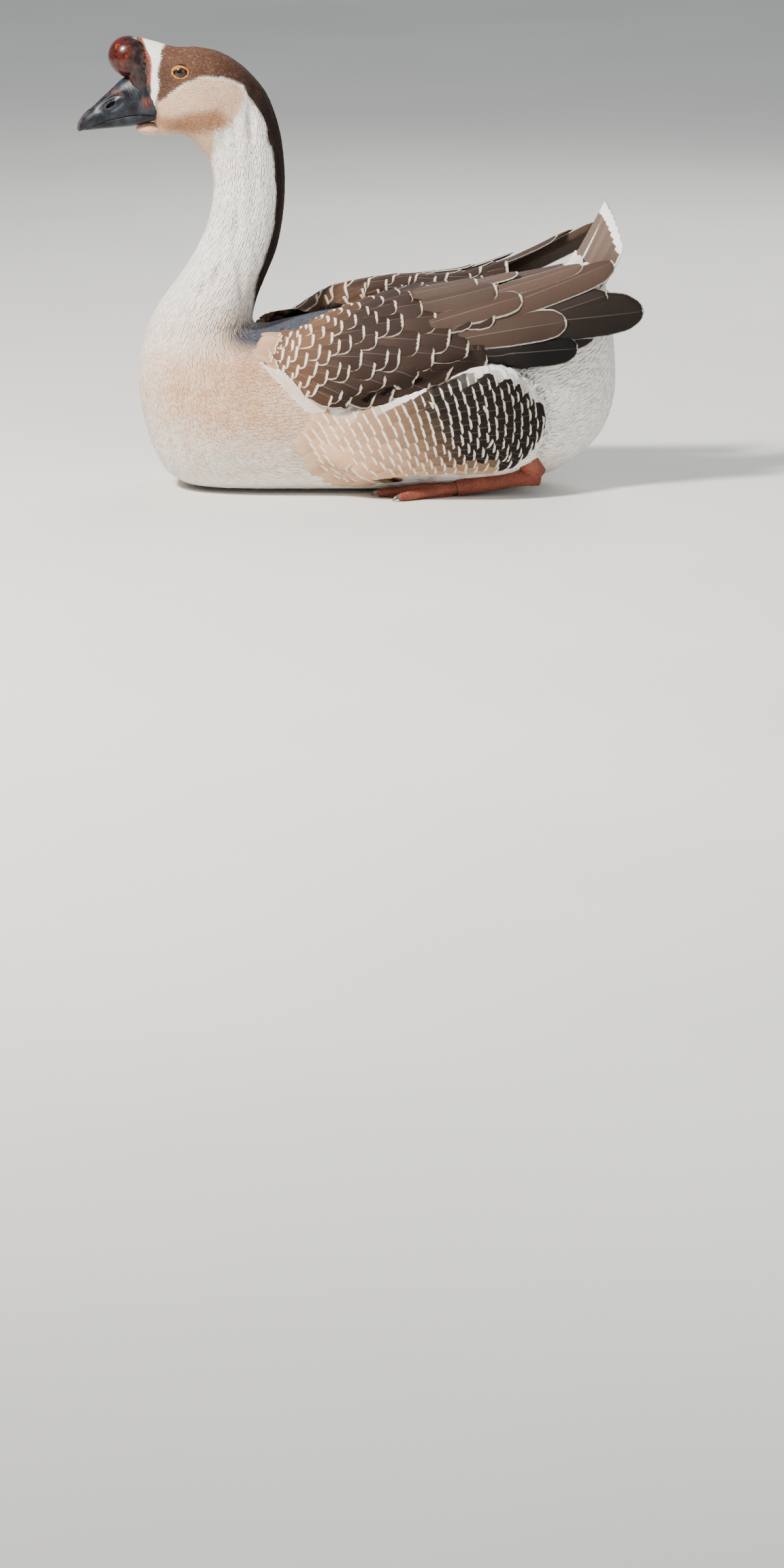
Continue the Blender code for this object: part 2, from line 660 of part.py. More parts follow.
def build():
    for obj in list(bpy.data.objects):
        bpy.data.objects.remove(obj)
    head_look = material("crown_brown", (112, 80, 58), 0.8)
    neck_look = material("neck_cream", (232, 220, 204), 0.85)
    torso_look = material("breast_buff", (220, 194, 168), 0.85)
    flank_look = material("flank_barred", (120, 100, 86), 0.8)
    wing_look = material("wing_brown", (86, 68, 58), 0.6)
    tail_look = material("tail_white", (226, 222, 216), 0.7)
    bill_look = material("bill_black", (36, 36, 40), 0.35)
    knob_look = material("knob_red_brown", (96, 38, 22), 0.3)
    eye_look = material("eye_brown", (48, 26, 14), 0.1)
    leg_look = material("leg_orange", (176, 82, 52), 0.6)

    build_head(head_look, eye_look, knob_look, bill_look)
    body_node("neck", HEAD_END + SEAM, NECK_END - SEAM, 14, 22, neck_look)
    torso = body_node("torso", NECK_END + SEAM, len(BODY) - 1, 27, 30, torso_look)
    for name, side in SIDES.items():
        flank = solid(f"flank_{name}", flank_shape(side), flank_look)
        cut_clear(flank, torso)
        build_wing(f"wing_{name}", side, torso, flank, wing_look)
        build_leg(name, side, torso, flank, leg_look)
    build_tail(torso, tail_look)
    for obj in bpy.context.scene.objects:
        shade(obj)


build()
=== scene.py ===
# %% [markdown]
# # A sitting African goose, life size
# The goose is a still model, as a museum shows one: it sits on its belly with its neck raised, its
# wings folded and its feet tucked beside it. Under every feather lies one closed skin. The small
# feathers are laid over it by Geometry Nodes, and the wings, flanks and tail get larger vanes in
# rows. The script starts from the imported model, which gives the place and size of everything.

# %% The frame and the tools
import math

import bmesh
import bpy
import numpy as np
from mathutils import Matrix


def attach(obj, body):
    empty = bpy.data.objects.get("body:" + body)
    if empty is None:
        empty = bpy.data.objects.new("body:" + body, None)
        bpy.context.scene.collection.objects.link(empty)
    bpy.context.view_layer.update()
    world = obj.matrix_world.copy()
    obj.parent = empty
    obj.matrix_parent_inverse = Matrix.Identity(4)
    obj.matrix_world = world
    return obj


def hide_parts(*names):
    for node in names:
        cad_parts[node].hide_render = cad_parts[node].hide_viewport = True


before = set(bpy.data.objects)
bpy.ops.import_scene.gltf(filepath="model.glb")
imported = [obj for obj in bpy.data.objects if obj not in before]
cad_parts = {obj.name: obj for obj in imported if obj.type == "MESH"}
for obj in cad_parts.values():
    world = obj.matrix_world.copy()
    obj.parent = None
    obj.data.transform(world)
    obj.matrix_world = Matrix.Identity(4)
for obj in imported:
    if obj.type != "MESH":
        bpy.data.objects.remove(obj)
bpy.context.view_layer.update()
MM = 0.001
SIDES = {"left": -1, "right": 1}

# %% [markdown]
# ## The camera, the floor and the light
# The picture is taken from the goose's left side, from six metres off and a little above, with a
# long lens, so that near and far parts keep nearly one scale. The bird stands high in a tall frame,
# and for this the camera tilts down rather than shifting its lens, so that other views stay true.

# %% Camera, floor and lamps
CAMERA_UP = math.radians(8)
CAMERA_FAR = 6.0
CAMERA_TILT = math.radians(13.69)
LAMP_TARGET = (0.0, 0.0, 0.22)
AIM = (0.03814, 0.2545)

camera = bpy.data.objects.new("camera", bpy.data.cameras.new("camera"))
camera.location = (AIM[0], -CAMERA_FAR * math.cos(CAMERA_UP), AIM[1] + CAMERA_FAR * math.sin(CAMERA_UP))
camera.rotation_euler = (math.pi / 2 - CAMERA_TILT, 0, 0)
camera.data.lens = 119.41
bpy.context.scene.collection.objects.link(camera)
bpy.context.scene.camera = camera


def lamp(name, place, size, watts, colour):
    """A soft square lamp that shines at the goose's middle."""
    light = bpy.data.lights.new(name, "AREA")
    light.size, light.energy, light.color = size, watts, colour
    holder = bpy.data.objects.new(name, light)
    holder.location = place
    aim = np.array(LAMP_TARGET) - np.array(place)
    flat = math.hypot(aim[0], aim[1])
    holder.rotation_euler = (math.pi / 2 + math.atan2(aim[2], flat), 0, math.atan2(-aim[0], aim[1]))
    bpy.context.scene.collection.objects.link(holder)


lamp("key_lamp", (-1.6, -1.5, 2.4), 0.45, 250, (1.0, 0.95, 0.88))
lamp("fill_lamp", (1.8, -2.6, 1.2), 2.2, 26, (0.9, 0.95, 1.0))
lamp("rim_lamp", (0.8, 2.2, 1.9), 1.4, 46, (1.0, 0.97, 0.93))
world = bpy.data.worlds.new("studio")
bpy.context.scene.world = world
world.use_nodes = True
world.node_tree.nodes["Background"].inputs["Color"].default_value = (0.72, 0.76, 0.8, 1)
world.node_tree.nodes["Background"].inputs["Strength"].default_value = 0.6
print("camera", [round(v, 3) for v in camera.location])

# %% [markdown]
# ## A workbench for nodes
# Materials and Geometry Nodes trees are both drawn as nodes and links. Writing them as Python
# expressions is easier to read: a Strand wraps one socket, and + - * / on it add Math nodes. One
# method of the Bench makes every other node, from its type, its settings and its inputs.

# %% Strands and the bench
class Strand:
    """One output of a node, which Python's own operators can go on from."""

    def __init__(self, bench, socket):
        self.bench, self.socket = bench, socket

    def sum_with(self, operation, first, second):
        return self.bench.node("ShaderNodeMath", {"operation": operation}, {0: first, 1: second})

    def __add__(self, other):
        return self.sum_with("ADD", self, other)

    def __sub__(self, other):
        return self.sum_with("SUBTRACT", self, other)

    def __rsub__(self, other):
        return self.sum_with("SUBTRACT", other, self)

    def __mul__(self, other):
        return self.sum_with("MULTIPLY", self, other)

    def __truediv__(self, other):
        return self.sum_with("DIVIDE", self, other)

    def __pow__(self, other):
        return self.sum_with("POWER", self, other)

    __radd__, __rmul__ = __add__, __mul__

    def ramp(self, low, high):
        """0 below low and 1 above high, with a soft rise between them; low may be the larger."""
        return self.bench.node("ShaderNodeMapRange", {"interpolation_type": "SMOOTHSTEP"},
                               {"Value": self, "From Min": low, "From Max": high})


class Bench:
    """Adds nodes to one tree."""

    def __init__(self, tree):
        self.tree = tree

    def node(self, kind, settings=(), values=(), out=0):
        made = self.tree.nodes.new(kind)
        for name, value in dict(settings).items():
            setattr(made, name, value)
        for key, value in dict(values).items():
            if isinstance(key, int):
                socket = made.inputs[key]
            else:
                socket = next(s for s in made.inputs if s.name == key and s.enabled)
            if isinstance(value, Strand):
                self.tree.links.new(value.socket, socket)
            else:
                socket.default_value = value
        live = [s for s in made.outputs if s.enabled]
        chosen = live[out] if isinstance(out, int) else next(s for s in live if s.name == out)
        return Strand(self, chosen)

    def mix(self, first, second, share):
        """One colour blended into another by a share from 0 to 1."""
        pair = [(*colour, 1.0) if isinstance(colour, tuple) else colour for colour in (first, second)]
        return self.node("ShaderNodeMix", {"data_type": "RGBA"},
                         {"Factor": share, "A": pair[0], "B": pair[1]})

    def darker(self, colour, share):
        """A colour multiplied by a number."""
        return self.node("ShaderNodeVectorMath", {"operation": "SCALE"}, {"Vector": colour, "Scale": share})

    def noise(self, at, scale, detail=3.0):
        return self.node("ShaderNodeTexNoise", {}, {"Vector": at, "Scale": scale, "Detail": detail,
                                                    "Roughness": 0.55})


def rgb(red, green, blue):
    """A colour as a paint chart gives it, turned into the light values that the renderer uses."""
    return tuple(round((v / 255) ** 2.2, 5) for v in (red, green, blue))


class Finish(Bench):
    """A material with one Principled shader, built from strands."""

    def __init__(self, name, **constants):
        self.material = bpy.data.materials.new(name)
        self.material.use_nodes = True
        super().__init__(self.material.node_tree)
        self.shader = self.tree.nodes["Principled BSDF"]
        for key, value in constants.items():
            self.shader.inputs[key.replace("_", " ")].default_value = value

    def feed(self, socket, strand):
        self.tree.links.new(strand.socket, self.shader.inputs[socket])

    def read(self, name, out="Fac"):
        return self.node("ShaderNodeAttribute", {"attribute_name": name}, out=out)

    def place(self):
        return self.node("ShaderNodeTexCoord", out="Object")

    def bump(self, height, distance, strength=1.0):
        """Raises the surface by height, a number from 0 to 1, times a distance in metres."""
        raised = self.node("ShaderNodeBump", {}, {"Height": height, "Distance": distance,
                                                  "Strength": strength})
        self.feed("Normal", raised)


floor_finish = Finish("pale_floor", Roughness=0.75)
floor_shade = floor_finish.noise(floor_finish.place(), 1.5).ramp(0.2, 0.8)
floor_finish.feed("Base Color", floor_finish.mix(rgb(214, 214, 210), rgb(222, 222, 218), floor_shade))
bpy.ops.mesh.primitive_plane_add(size=16)
floor = bpy.context.object
floor.name = "floor"
floor.data.materials.append(floor_finish.material)
print("floor and bench ready")

# %% [markdown]
# ## The form of the body
# The flesh of head, neck and trunk is one loft. Each station is a cross-section between a point of
# the back line and a point of the front line in the side view, with its half width, how far down it
# is widest, and how square its two halves are. A smooth curve runs through the stations, so any
# place on the body is found from two numbers: s, the way from face to vent, and turn, the way round.

# %% Body stations and the surface through them
STATIONS = [
    # back x, z, front x, z, half width, level, upper and lower squareness, in millimetres
    (-251, 516.5, -232.5, 416, 19, 0.50, 2.4, 2.4),
    (-229.5, 511, -223, 404.5, 25.5, 0.52, 2.3, 2.3),
    (-208, 505.5, -212.5, 404, 31, 0.53, 2.3, 2.3),
    (-182.5, 505.5, -201, 405, 34.5, 0.55, 2.2, 2.2),
    (-153, 498.5, -189, 396.5, 35.5, 0.54, 2.1, 2.1),
    (-124, 478.5, -179.5, 386, 34.5, 0.52, 2.1, 2.1),
    (-101.5, 448.5, -171, 373.5, 33, 0.5, 2.0, 2.0),
    (-87, 404.5, -167.5, 350, 32.5, 0.5, 2.0, 2.0),
    (-82, 355, -170, 323.5, 33.5, 0.5, 2.0, 2.0),
    (-85, 310, -179.5, 293, 37, 0.5, 2.0, 2.0),
    (-94, 268, -195, 264, 44, 0.5, 2.0, 2.0),
    (-108.5, 234, -215, 236, 54, 0.5, 2.0, 2.0),
    (-116.5, 210, -235, 207.5, 66, 0.5, 2.0, 2.05),
    (-118, 191, -251, 172, 79, 0.5, 2.0, 2.1),
    (-100, 190, -258, 127, 91, 0.5, 2.0, 2.2),
    (-72, 198, -252.5, 82, 101, 0.5, 2.0, 2.3),
    (-38, 206, -240, 42, 108, 0.5, 2.0, 2.4),
    (0, 212, -217, 9, 112, 0.5, 2.0, 2.4),
    (45, 217, -165, -7, 114, 0.52, 2.0, 2.4),
    (88, 220, -70, -9, 115, 0.54, 2.0, 2.4),
    (125, 223, 40, -9, 113, 0.55, 2.0, 2.4),
    (160, 228, 130, -7, 107, 0.55, 2.0, 2.3),
    (192, 235, 204, 6, 97, 0.54, 2.0, 2.2),
    (218, 243, 250, 27, 82, 0.53, 2.0, 2.1),
    (240, 250, 283, 60, 67, 0.52, 2.0, 2.0),
    (258, 255, 298, 102, 50, 0.5, 2.0, 2.0),
    (270, 258, 299, 150, 35, 0.5, 2.0, 2.0),
    (281, 256, 293, 205, 20, 0.5, 2.0, 2.0),
]
LAST = len(STATIONS) - 1
# Flank pad over the thigh: x, middle height, half height, half width of the bird.
FLANK = [
    (-72, 62, 9, 98), (-42, 64, 28, 112), (0, 66, 46, 122), (45, 76, 52, 129), (90, 86, 58, 133),
    (135, 94, 66, 133), (175, 93, 63, 124), (203, 88, 49, 108), (216, 88, 29, 97), (220, 88, 11, 91),
]
FLANK_DEPTH = 30
# How deep the coat is along the body, as (s, millimetres).
COAT = [(0, 0.5), (1, 0.7), (3, 1.2), (5, 2.0), (8, 2.2), (11, 2.8), (14, 4), (18, 4.5), (23, 5), (27, 4)]


def through(rows, t):
    """A smooth curve through rows of numbers, one row at each whole t, for an array of t."""
    rows = np.asarray(rows, float)
    t = np.asarray(t, float)
    i = np.clip(t.astype(int), 0, len(rows) - 2)
    f = (t - i)[..., None]
    a, b = rows[np.maximum(i - 1, 0)], rows[i]
    c, d = rows[i + 1], rows[np.minimum(i + 2, len(rows) - 1)]
    return 0.5 * (2 * b + (c - a) * f + (2 * a - 5 * b + 4 * c - d) * f**2 + (3 * b - a - 3 * c + d) * f**3)


def rise(value, low, high):
    """0 below low, 1 above high and a soft rise between, for arrays."""
    t = np.clip((np.asarray(value, float) - low) / (high - low), 0, 1)
    return t * t * (3 - 2 * t)


def table(rows, value):
    return np.interp(value, [row[0] for row in rows], [row[1] for row in rows])


def flank_out(x, z):
    """How far out from the middle the flank pad reaches at a place of the side view."""
    t = np.interp(x, [row[0] for row in FLANK], range(len(FLANK)))
    _, middle, half, width = np.moveaxis(through(FLANK, t), -1, 0)
    q = np.abs(z - middle) / half
    blunt = np.where(z > middle, 6.0, 2.4)
    inside = np.power(np.clip(1 - q**blunt, 0, 1), 1 / 2.8)
    beyond = np.where(q < 1, inside, -(q - 1) * half * 0.08)
    beyond -= np.clip(FLANK[0][0] - x, 0, None) * 0.1 + np.clip(x - FLANK[-1][0], 0, None) * 0.1
    return width - FLANK_DEPTH + FLANK_DEPTH * beyond


def smooth_max(a, b, soft):
    """The larger of two numbers, with the corner between them rounded."""
    h = np.clip(0.5 + 0.5 * (a - b) / soft, 0, 1)
    return b + (a - b) * h + soft * h * (1 - h)


# The stations along the body where the head ends and the trunk starts.
HEAD_END, TRUNK_FROM = 4.6, 13


def body_surface(s, turn):
    """Points on the outer form of the body, in millimetres, at s along it and turn round it."""
    s, turn = np.broadcast_arrays(s, turn)
    bx, bz, fx, fz, half, level, upper, lower = np.moveaxis(through(STATIONS, s), -1, 0)
    c, n = np.cos(turn), np.sin(turn)
    power = 2 / np.where(c > 0, upper, lower)
    reach = np.abs(c) ** power
    along = np.where(c > 0, level * (1 - reach), level + (1 - level) * reach)
    x, z = bx + (fx - bx) * along, bz + (fz - bz) * along
    y = half * np.abs(n) ** power
    y = np.where(s > TRUNK_FROM, smooth_max(y, flank_out(x, z), 5.0), y) * rise(np.abs(n), -0.001, 0.02)
    return np.stack([x, -np.sign(n) * y, np.maximum(z, 1.5)], axis=-1)


probe = body_surface(np.array([2.0, 12.0, 20.0]), np.array([1.57, 1.57, 1.57]))
print("half widths at eye, crop and belly:", [round(-p[1], 1) for p in probe])

# %% [markdown]
# ## Markings
# An African goose has a brown cap behind a white band, a dark stripe down the back of the neck, a
# buff cheek and breast, a white neck and belly. Skin and feathers must agree, so one function gives
# the share of every marking at a place on the body. The edges are drawn as outlines in the side
# view, and a soft step across the distance to an outline makes the border.

# %% Outlines of the markings in the side view
# Each point is (x, height) in millimetres, as seen from the camera's side and height.
CAP = [
    (-221.6, 506.7), (-224.4, 499.1), (-225.3, 489.7), (-228.5, 480.2), (-229.1, 470.7), (-228.0, 456.0),
    (-229.0, 440.0), (-224.0, 441.5), (-213.5, 451.5), (-206.0, 458.5), (-198.0, 462.5), (-188.5, 466.5),
    (-179.4, 470.7),
    (-168.1, 470.7), (-156.9, 469.8), (-141.9, 466.0), (-132.5, 461.3), (-128.7, 451.8), (-123.1, 446.1),
    (-116.6, 436.6), (-110.0, 427.2), (-106.2, 415.8), (-104.4, 400.7), (-98.7, 385.5), (-96.1, 372.3),
    (-95.0, 357.1), (-93.9, 333.3), (-99.1, 287.8), (-109.6, 257.5), (-117.9, 233.3), (-119.4, 203.7),
    (-114.9, 179.5), (-59.4, 181.0), (-59.4, 370.4), (-81.9, 446.1), (-111.9, 491.6), (-156.9, 529.4),
    (-215.4, 539.4),
]
BAND = [
    (-252.5, 525.8), (-243.1, 508.6), (-239.4, 501.0), (-234.9, 491.6), (-233.7, 480.2), (-234.9, 470.7),
    (-235.6, 461.3), (-234.9, 453.7), (-237.1, 442.3), (-237.1, 434.7), (-233.7, 434.0), (-231.1, 442.3),
    (-228.1, 451.8), (-226.6, 459.4), (-229.1, 470.7), (-228.5, 480.2), (-225.3, 489.7), (-224.4, 499.1),
    (-221.6, 506.7), (-212.4, 522.3),
]
CHEEK = [
    (-229.0, 440.0), (-213.5, 451.5), (-198.0, 462.5), (-179.4, 470.7), (-141.9, 465.8),
    (-128.4, 452.2), (-134.4, 434.7),
    (-147.9, 414.3), (-164.4, 408.2), (-168.4, 377.9), (-164.4, 350), (-178, 352), (-200, 380),
    (-215.4, 390), (-240, 400), (-245, 425), (-233.4, 434.0),
]
# Bare skin between the bill, the knob and the white band.
FACE_SKIN = [*BAND[:10], (-240, 412), (-270, 412), (-275, 500), (-262, 545)]
TAN = [
    (-232.6, 429.4), (-224.4, 424.9), (-205.6, 424.9), (-186.9, 429.4), (-168.1, 434.0), (-153.1, 431.0),
    (-149.4, 419.6), (-160.6, 409.8), (-186.9, 406.0), (-215.4, 408.2), (-230.4, 412.8),
]
SIGHT_DROP = 0.1405


def side_view(points):
    """Where points appear in the side view, with both sides of the bird seen as the near one."""
    return np.stack([points[:, 0], points[:, 2] - SIGHT_DROP * np.abs(points[:, 1])], axis=1)


def within(spots, outline, soft):
    """1 inside an outline and 0 outside, with an edge this many millimetres soft."""
    nearest = np.full(len(spots), 1e9)
    crossings = np.zeros(len(spots), int)
    corners = np.asarray(outline, float)
    for a, b in zip(corners, np.roll(corners, -1, axis=0)):
        run = b - a
        share = np.clip(((spots - a) @ run) / (run @ run), 0, 1)
        nearest = np.minimum(nearest, np.linalg.norm(spots - a - share[:, None] * run, axis=1))
        spans = (a[1] > spots[:, 1]) != (b[1] > spots[:, 1])
        rise_x = a[0] + (spots[:, 1] - a[1]) * run[0] / (run[1] if run[1] else 1e-9)
        crossings += spans & (spots[:, 0] < rise_x)
    signed = np.where(crossings % 2 == 1, nearest, -nearest)
    return rise(signed, -soft, soft)


def spot(spots, x, z, wide, high):
    """A round patch that fades out from its middle."""
    return np.exp(-((spots[:, 0] - x) / wide) ** 2 - ((spots[:, 1] - z) / high) ** 2)


def waver(points, size, seed):
    """A slow irregular wave over the body, between about -1 and 1."""
    total = np.zeros(len(points))
    chance = np.random.default_rng(seed)
    for _ in range(7):
        way = chance.normal(size=3)
        way /= np.linalg.norm(way) * size * chance.uniform(0.5, 1.6)
        total += np.sin(points @ way + chance.uniform(0, 6.3))
    return total / 3.5


def markings(points, s, turn):
    """The share of each marking at points in millimetres on the body, by name."""
    spots = side_view(points)
    spots = spots + np.stack([waver(points, 4.0, 1), waver(points, 4.0, 2)], axis=1) * 0.9
    top = np.clip(np.cos(turn), 0, 1)
    marks = {
        "cap": within(spots, CAP, 1.5) * (1 - rise(s, 12.2, 12.9)),
        "band": within(spots, BAND, 0.8),
        "cheek": within(spots, CHEEK, 4.0),
        "tan": within(spots, TAN, 7.0),
        "nape": rise(s, 2.6, 6.2),
        "breast": spot(spots, -185, 118, 80, 62) + 0.75 * spot(spots, -95, 95, 75, 70),
        "warm": spot(spots, -127, 148, 34, 38) + 0.55 * spot(spots, -66, 62, 50, 30),
        "neck_foot": spot(spots, -145, 190, 42, 30),
        "mantle": rise(s, 12.1, 13.2) * rise(top, 0.35, 0.75) * (1 - rise(points[:, 0], 175, 215)),
        "bars": rise(points[:, 0], -125, -10) * rise(flank_out(points[:, 0], points[:, 2]), 60, 90),
        "rear": rise(points[:, 0], -40, 150),
        "lore": spot(spots, -221, 468, 10, 20),
        "jaw_edge": np.exp(-((spots[:, 0] + 231.5 - 0.06 * (spots[:, 1] - 430)) / 3.2) ** 2)
        * rise(spots[:, 1], 408, 420) * (1 - rise(spots[:, 1], 440, 452)),
        "gape": spot(spots, -236.5, 431, 3.0, 5.0),
        "face_skin": within(spots, FACE_SKIN, 1.2) * (s < 2.5),
    }
    return {name: np.clip(share, 0, 1) for name, share in marks.items()}


print("outline points:", sum(map(len, (CAP, BAND, CHEEK, TAN))))

# %% [markdown]
# ## The skin
# One closed skin replaces the solids of head, neck, trunk and flanks, so that no seam shows. It lies
# under the outer form by the coat's depth. Rings close together on the head leave room for eye
# sockets, a brow, the hollow before the eye and the furrows of the neck, all pushed in along the
# surface's own direction. Its unwrap is simply turn across and s along.

# %% Mesh helpers
def mesh_piece(name, points, faces, finish=None, uvs=None, **attributes):
    """A mesh object from points in millimetres, with optional maps and numbers for each point."""
    mesh = bpy.data.meshes.new(name)
    flat = [tuple(face) for face in faces]
    mesh.from_pydata((np.asarray(points, float) * MM).tolist(), [], flat)
    for map_name, map_at in (uvs or {}).items():
        layer = mesh.uv_layers.new(name=map_name)
        layer.data.foreach_set("uv", np.asarray(map_at, np.float32).ravel())
    for key, values in attributes.items():
        values = np.asarray(values, np.float32)
        kind = "FLOAT_VECTOR" if values.ndim == 2 else "FLOAT"
        made = mesh.attributes.new(key, kind, "POINT")
        made.data.foreach_set("vector" if values.ndim == 2 else "value", values.ravel())
    mesh.update()
    mesh.shade_smooth()
    piece = bpy.data.objects.new(name, mesh)
    bpy.context.scene.collection.objects.link(piece)
    if finish:
        mesh.materials.append(finish.material)
    return piece


def ring_faces(rows, around):
    """Quads between rows of a ring grid, and a fan to one middle point at each end."""
    r, k = np.meshgrid(np.arange(rows - 1), np.arange(around), indexing="ij")
    a, b = r * around + k, r * around + (k + 1) % around
    faces = np.stack([a, b, b + around, a + around], axis=-1).reshape(-1, 4).tolist()
    first, last = rows * around, rows * around + 1
    base = (rows - 1) * around
    faces += [(first, (j + 1) % around, j) for j in range(around)]
    faces += [(last, base + j, base + (j + 1) % around) for j in range(around)]
    return faces


def full_turn(steps):
    """Angles round a ring, the first of them not repeated at its end."""
    return np.linspace(0, 2 * math.pi, steps, endpoint=False)


def outward(grid):
    """The direction away from the body at each point of a ring grid (rows, around, 3)."""
    along = np.gradient(grid, axis=0)
    across = np.roll(grid, -1, axis=1) - np.roll(grid, 1, axis=1)
    normal = np.cross(across, along)
    normal /= np.maximum(np.linalg.norm(normal, axis=-1, keepdims=True), 1e-9)
    return normal


# %% Sculpt the skin and save its form
EYE_AT = (-201.5, 478.5)
AROUND = 180
s_rows = np.concatenate([np.linspace(0, 5, 92, endpoint=False), np.linspace(5, LAST, 196)])
turns = full_turn(AROUND)
s_grid, turn_grid = np.meshgrid(s_rows, turns, indexing="ij")
form = body_surface(s_grid, turn_grid)
out_dir = outward(form)
if (out_dir[150, 45] * (0, -1, 0)).sum() < 0:
    out_dir = -out_dir


def eye_distance(points):
    """1 at the rim of the lids, less inside and more outside, in the side view."""
    x, z = points[..., 0] - EYE_AT[0], points[..., 2] - EYE_AT[1]
    return np.hypot(x / 8.6, z / np.where(z > 0, 6.6, 6.2))


def head_relief(points, s, turn):
    """How far the skin of the head and neck rises from the outer form, in millimetres."""
    flat = points.reshape(-1, 3)
    x, z = points[..., 0], points[..., 2]
    socket = -4.2 * (1 - rise(eye_distance(points), 0.72, 1.08))
    brow = 1.5 * np.exp(-((x + 203) / 13) ** 2 - ((z - 490) / 4.5) ** 2)
    lore = -1.8 * np.exp(-((x + 220) / 9) ** 2 - ((z - 478) / 12) ** 2)
    cheek = 1.4 * np.exp(-((x + 180) / 22) ** 2 - ((z - 432) / 16) ** 2)
    side = np.abs(np.sin(turn)) ** 2
    around = waver(flat * (1, 1, 0.12), 3.4, 5).reshape(s.shape)
    on_neck = rise(s, HEAD_END, 6.2) * (1 - rise(s, 10.8, 12.6)) * (0.35 + 0.65 * side)
    furrow = np.where(around < -0.25, around + 0.25, 0) * 3.0 + around
    return (socket + brow + lore + cheek) * side * (s < HEAD_END) + 0.9 * furrow * on_neck


relief = head_relief(form, s_grid, turn_grid)
depth = table(COAT, s_grid)
skin_grid = form + out_dir * (relief - depth)[..., None]
skin_grid[..., 2] = np.maximum(skin_grid[..., 2], 1.0)
skin_out = outward(skin_grid)
if (skin_out[150, 45] * (0, -1, 0)).sum() < 0:
    skin_out = -skin_out
lie = np.gradient(skin_grid, axis=0)
lie /= np.linalg.norm(lie, axis=-1, keepdims=True)


def skin_data():
    """Points, faces, the unwrap and the numbers of the skin."""
    rows = len(s_rows)
    caps = np.stack([skin_grid[0].mean(axis=0), skin_grid[-1].mean(axis=0)])
    points = np.concatenate([skin_grid.reshape(-1, 3), caps])
    s_all = np.concatenate([s_grid.ravel(), [0, LAST]])
    turn_all = np.concatenate([turn_grid.ravel(), [0, 0]])
    faces = ring_faces(rows, AROUND)
    loops = []
    for face in faces:
        for v in face:
            if v >= rows * AROUND:
                u = (face[1] % AROUND + 0.5) / AROUND if len(face) == 3 else 0.0
                loops.append((u, s_all[v] / LAST))
                continue
            u = (v % AROUND) / AROUND
            if u == 0 and any(w % AROUND == AROUND - 1 for w in face if w < rows * AROUND):
                u = 1.0
            loops.append((u, s_all[v] / LAST))
    ends = np.array([[-1.0, 0, 0], [0.3, 0, 1.0]])
    out_all = np.concatenate([skin_out.reshape(-1, 3), ends])
    lie_all = np.concatenate([lie.reshape(-1, 3), [[0, 0, 1.0], [0, 0, 1.0]]])
    return points, faces, loops, s_all, turn_all, out_all, lie_all


points, faces, loops, s_all, turn_all, out_all, lie_all = skin_data()
marks = markings(points, s_all, turn_all)
print("skin points:", len(points), "faces:", len(faces))

# %% [markdown]
# ## What grows where
# Feathers are set by density: each coat has its own share of growth at every point of the skin. The
# face grows the smallest and closest, the neck narrow ones that part into furrows, the trunk larger
# ones. None grow in the eyes, on the bare strip behind the knob or where the bill is rooted.

# %% Growth and size of the coats
x_all, _, z_all = points.T
near_bill = 1 - rise(s_all, 0.05, 0.25)
eye_hole = 1 - rise(eye_distance(points), 1.0, 1.2)
eye_hole *= s_all < HEAD_END
growth = {
    "head": (1 - rise(s_all, 5.4, 5.9)) * (1 - eye_hole) * (1 - near_bill) * (marks["face_skin"] < 0.5),
    "neck": rise(s_all, 5.4, 5.9) * (1 - rise(s_all, 8.6, 8.9)),
    "neck_foot": rise(s_all, 8.6, 8.9) * (1 - rise(s_all, 12.1, 12.9)),
    "breast": rise(s_all, 12.1, 12.9) * (1 - rise(s_all, 17.8, 18.6)),
    "belly": rise(s_all, 17.8, 18.6) * (1 - rise(s_all, 22.0, 22.6)),
    "rump": rise(s_all, 22.0, 22.6),
}
wing_over = (np.abs(np.cos(turn_all)) < 0.86) & (z_all > 150) & (x_all > -60) & (x_all < 190)
for name in ("breast", "belly", "rump"):
    growth[name] = growth[name] * np.where(wing_over, 0.0, 1.0) * np.where(z_all < 2.0, 0.5, 1.0)
grow_size = table([(0, 0.55), (1.2, 0.75), (3, 0.95), (5, 1.1), (12, 1.0), (14, 1.05), (27, 1.1)], s_all)
print({name: round(float(share.mean()), 3) for name, share in growth.items()})

# %% [markdown]
# ## The colour of skin and small feathers
# The shares saved on the skin ride along to every feather that grows there, so both read the same
# colours. A feather adds its own touches: a tone of its own, a darker root that is painted shade
# under its neighbours, and a paler tip on the brown cap. The skin's colour is darkened as painted
# shade under the coat, and the mantle's blue-grey and a dark patch before the eye are painted shade.

# %% Finishes of the plumage
WHITE, CREAM, BUFF = rgb(244, 240, 233), rgb(236, 219, 198), rgb(210, 165, 130)
WARM_TAN, CHEEK_BUFF, JAW_TAN = rgb(180, 134, 100), rgb(208, 163, 127), rgb(150, 104, 72)
CAP_BROWN, CAP_PALE, NAPE_DARK = rgb(90, 60, 44), rgb(132, 98, 76), rgb(34, 20, 16)
BAND_WHITE, MANTLE_SHADE_BLUE, BAR_BROWN = rgb(244, 242, 238), rgb(52, 56, 66), rgb(150, 120, 98)
STRIP_ORANGE = rgb(186, 98, 44)


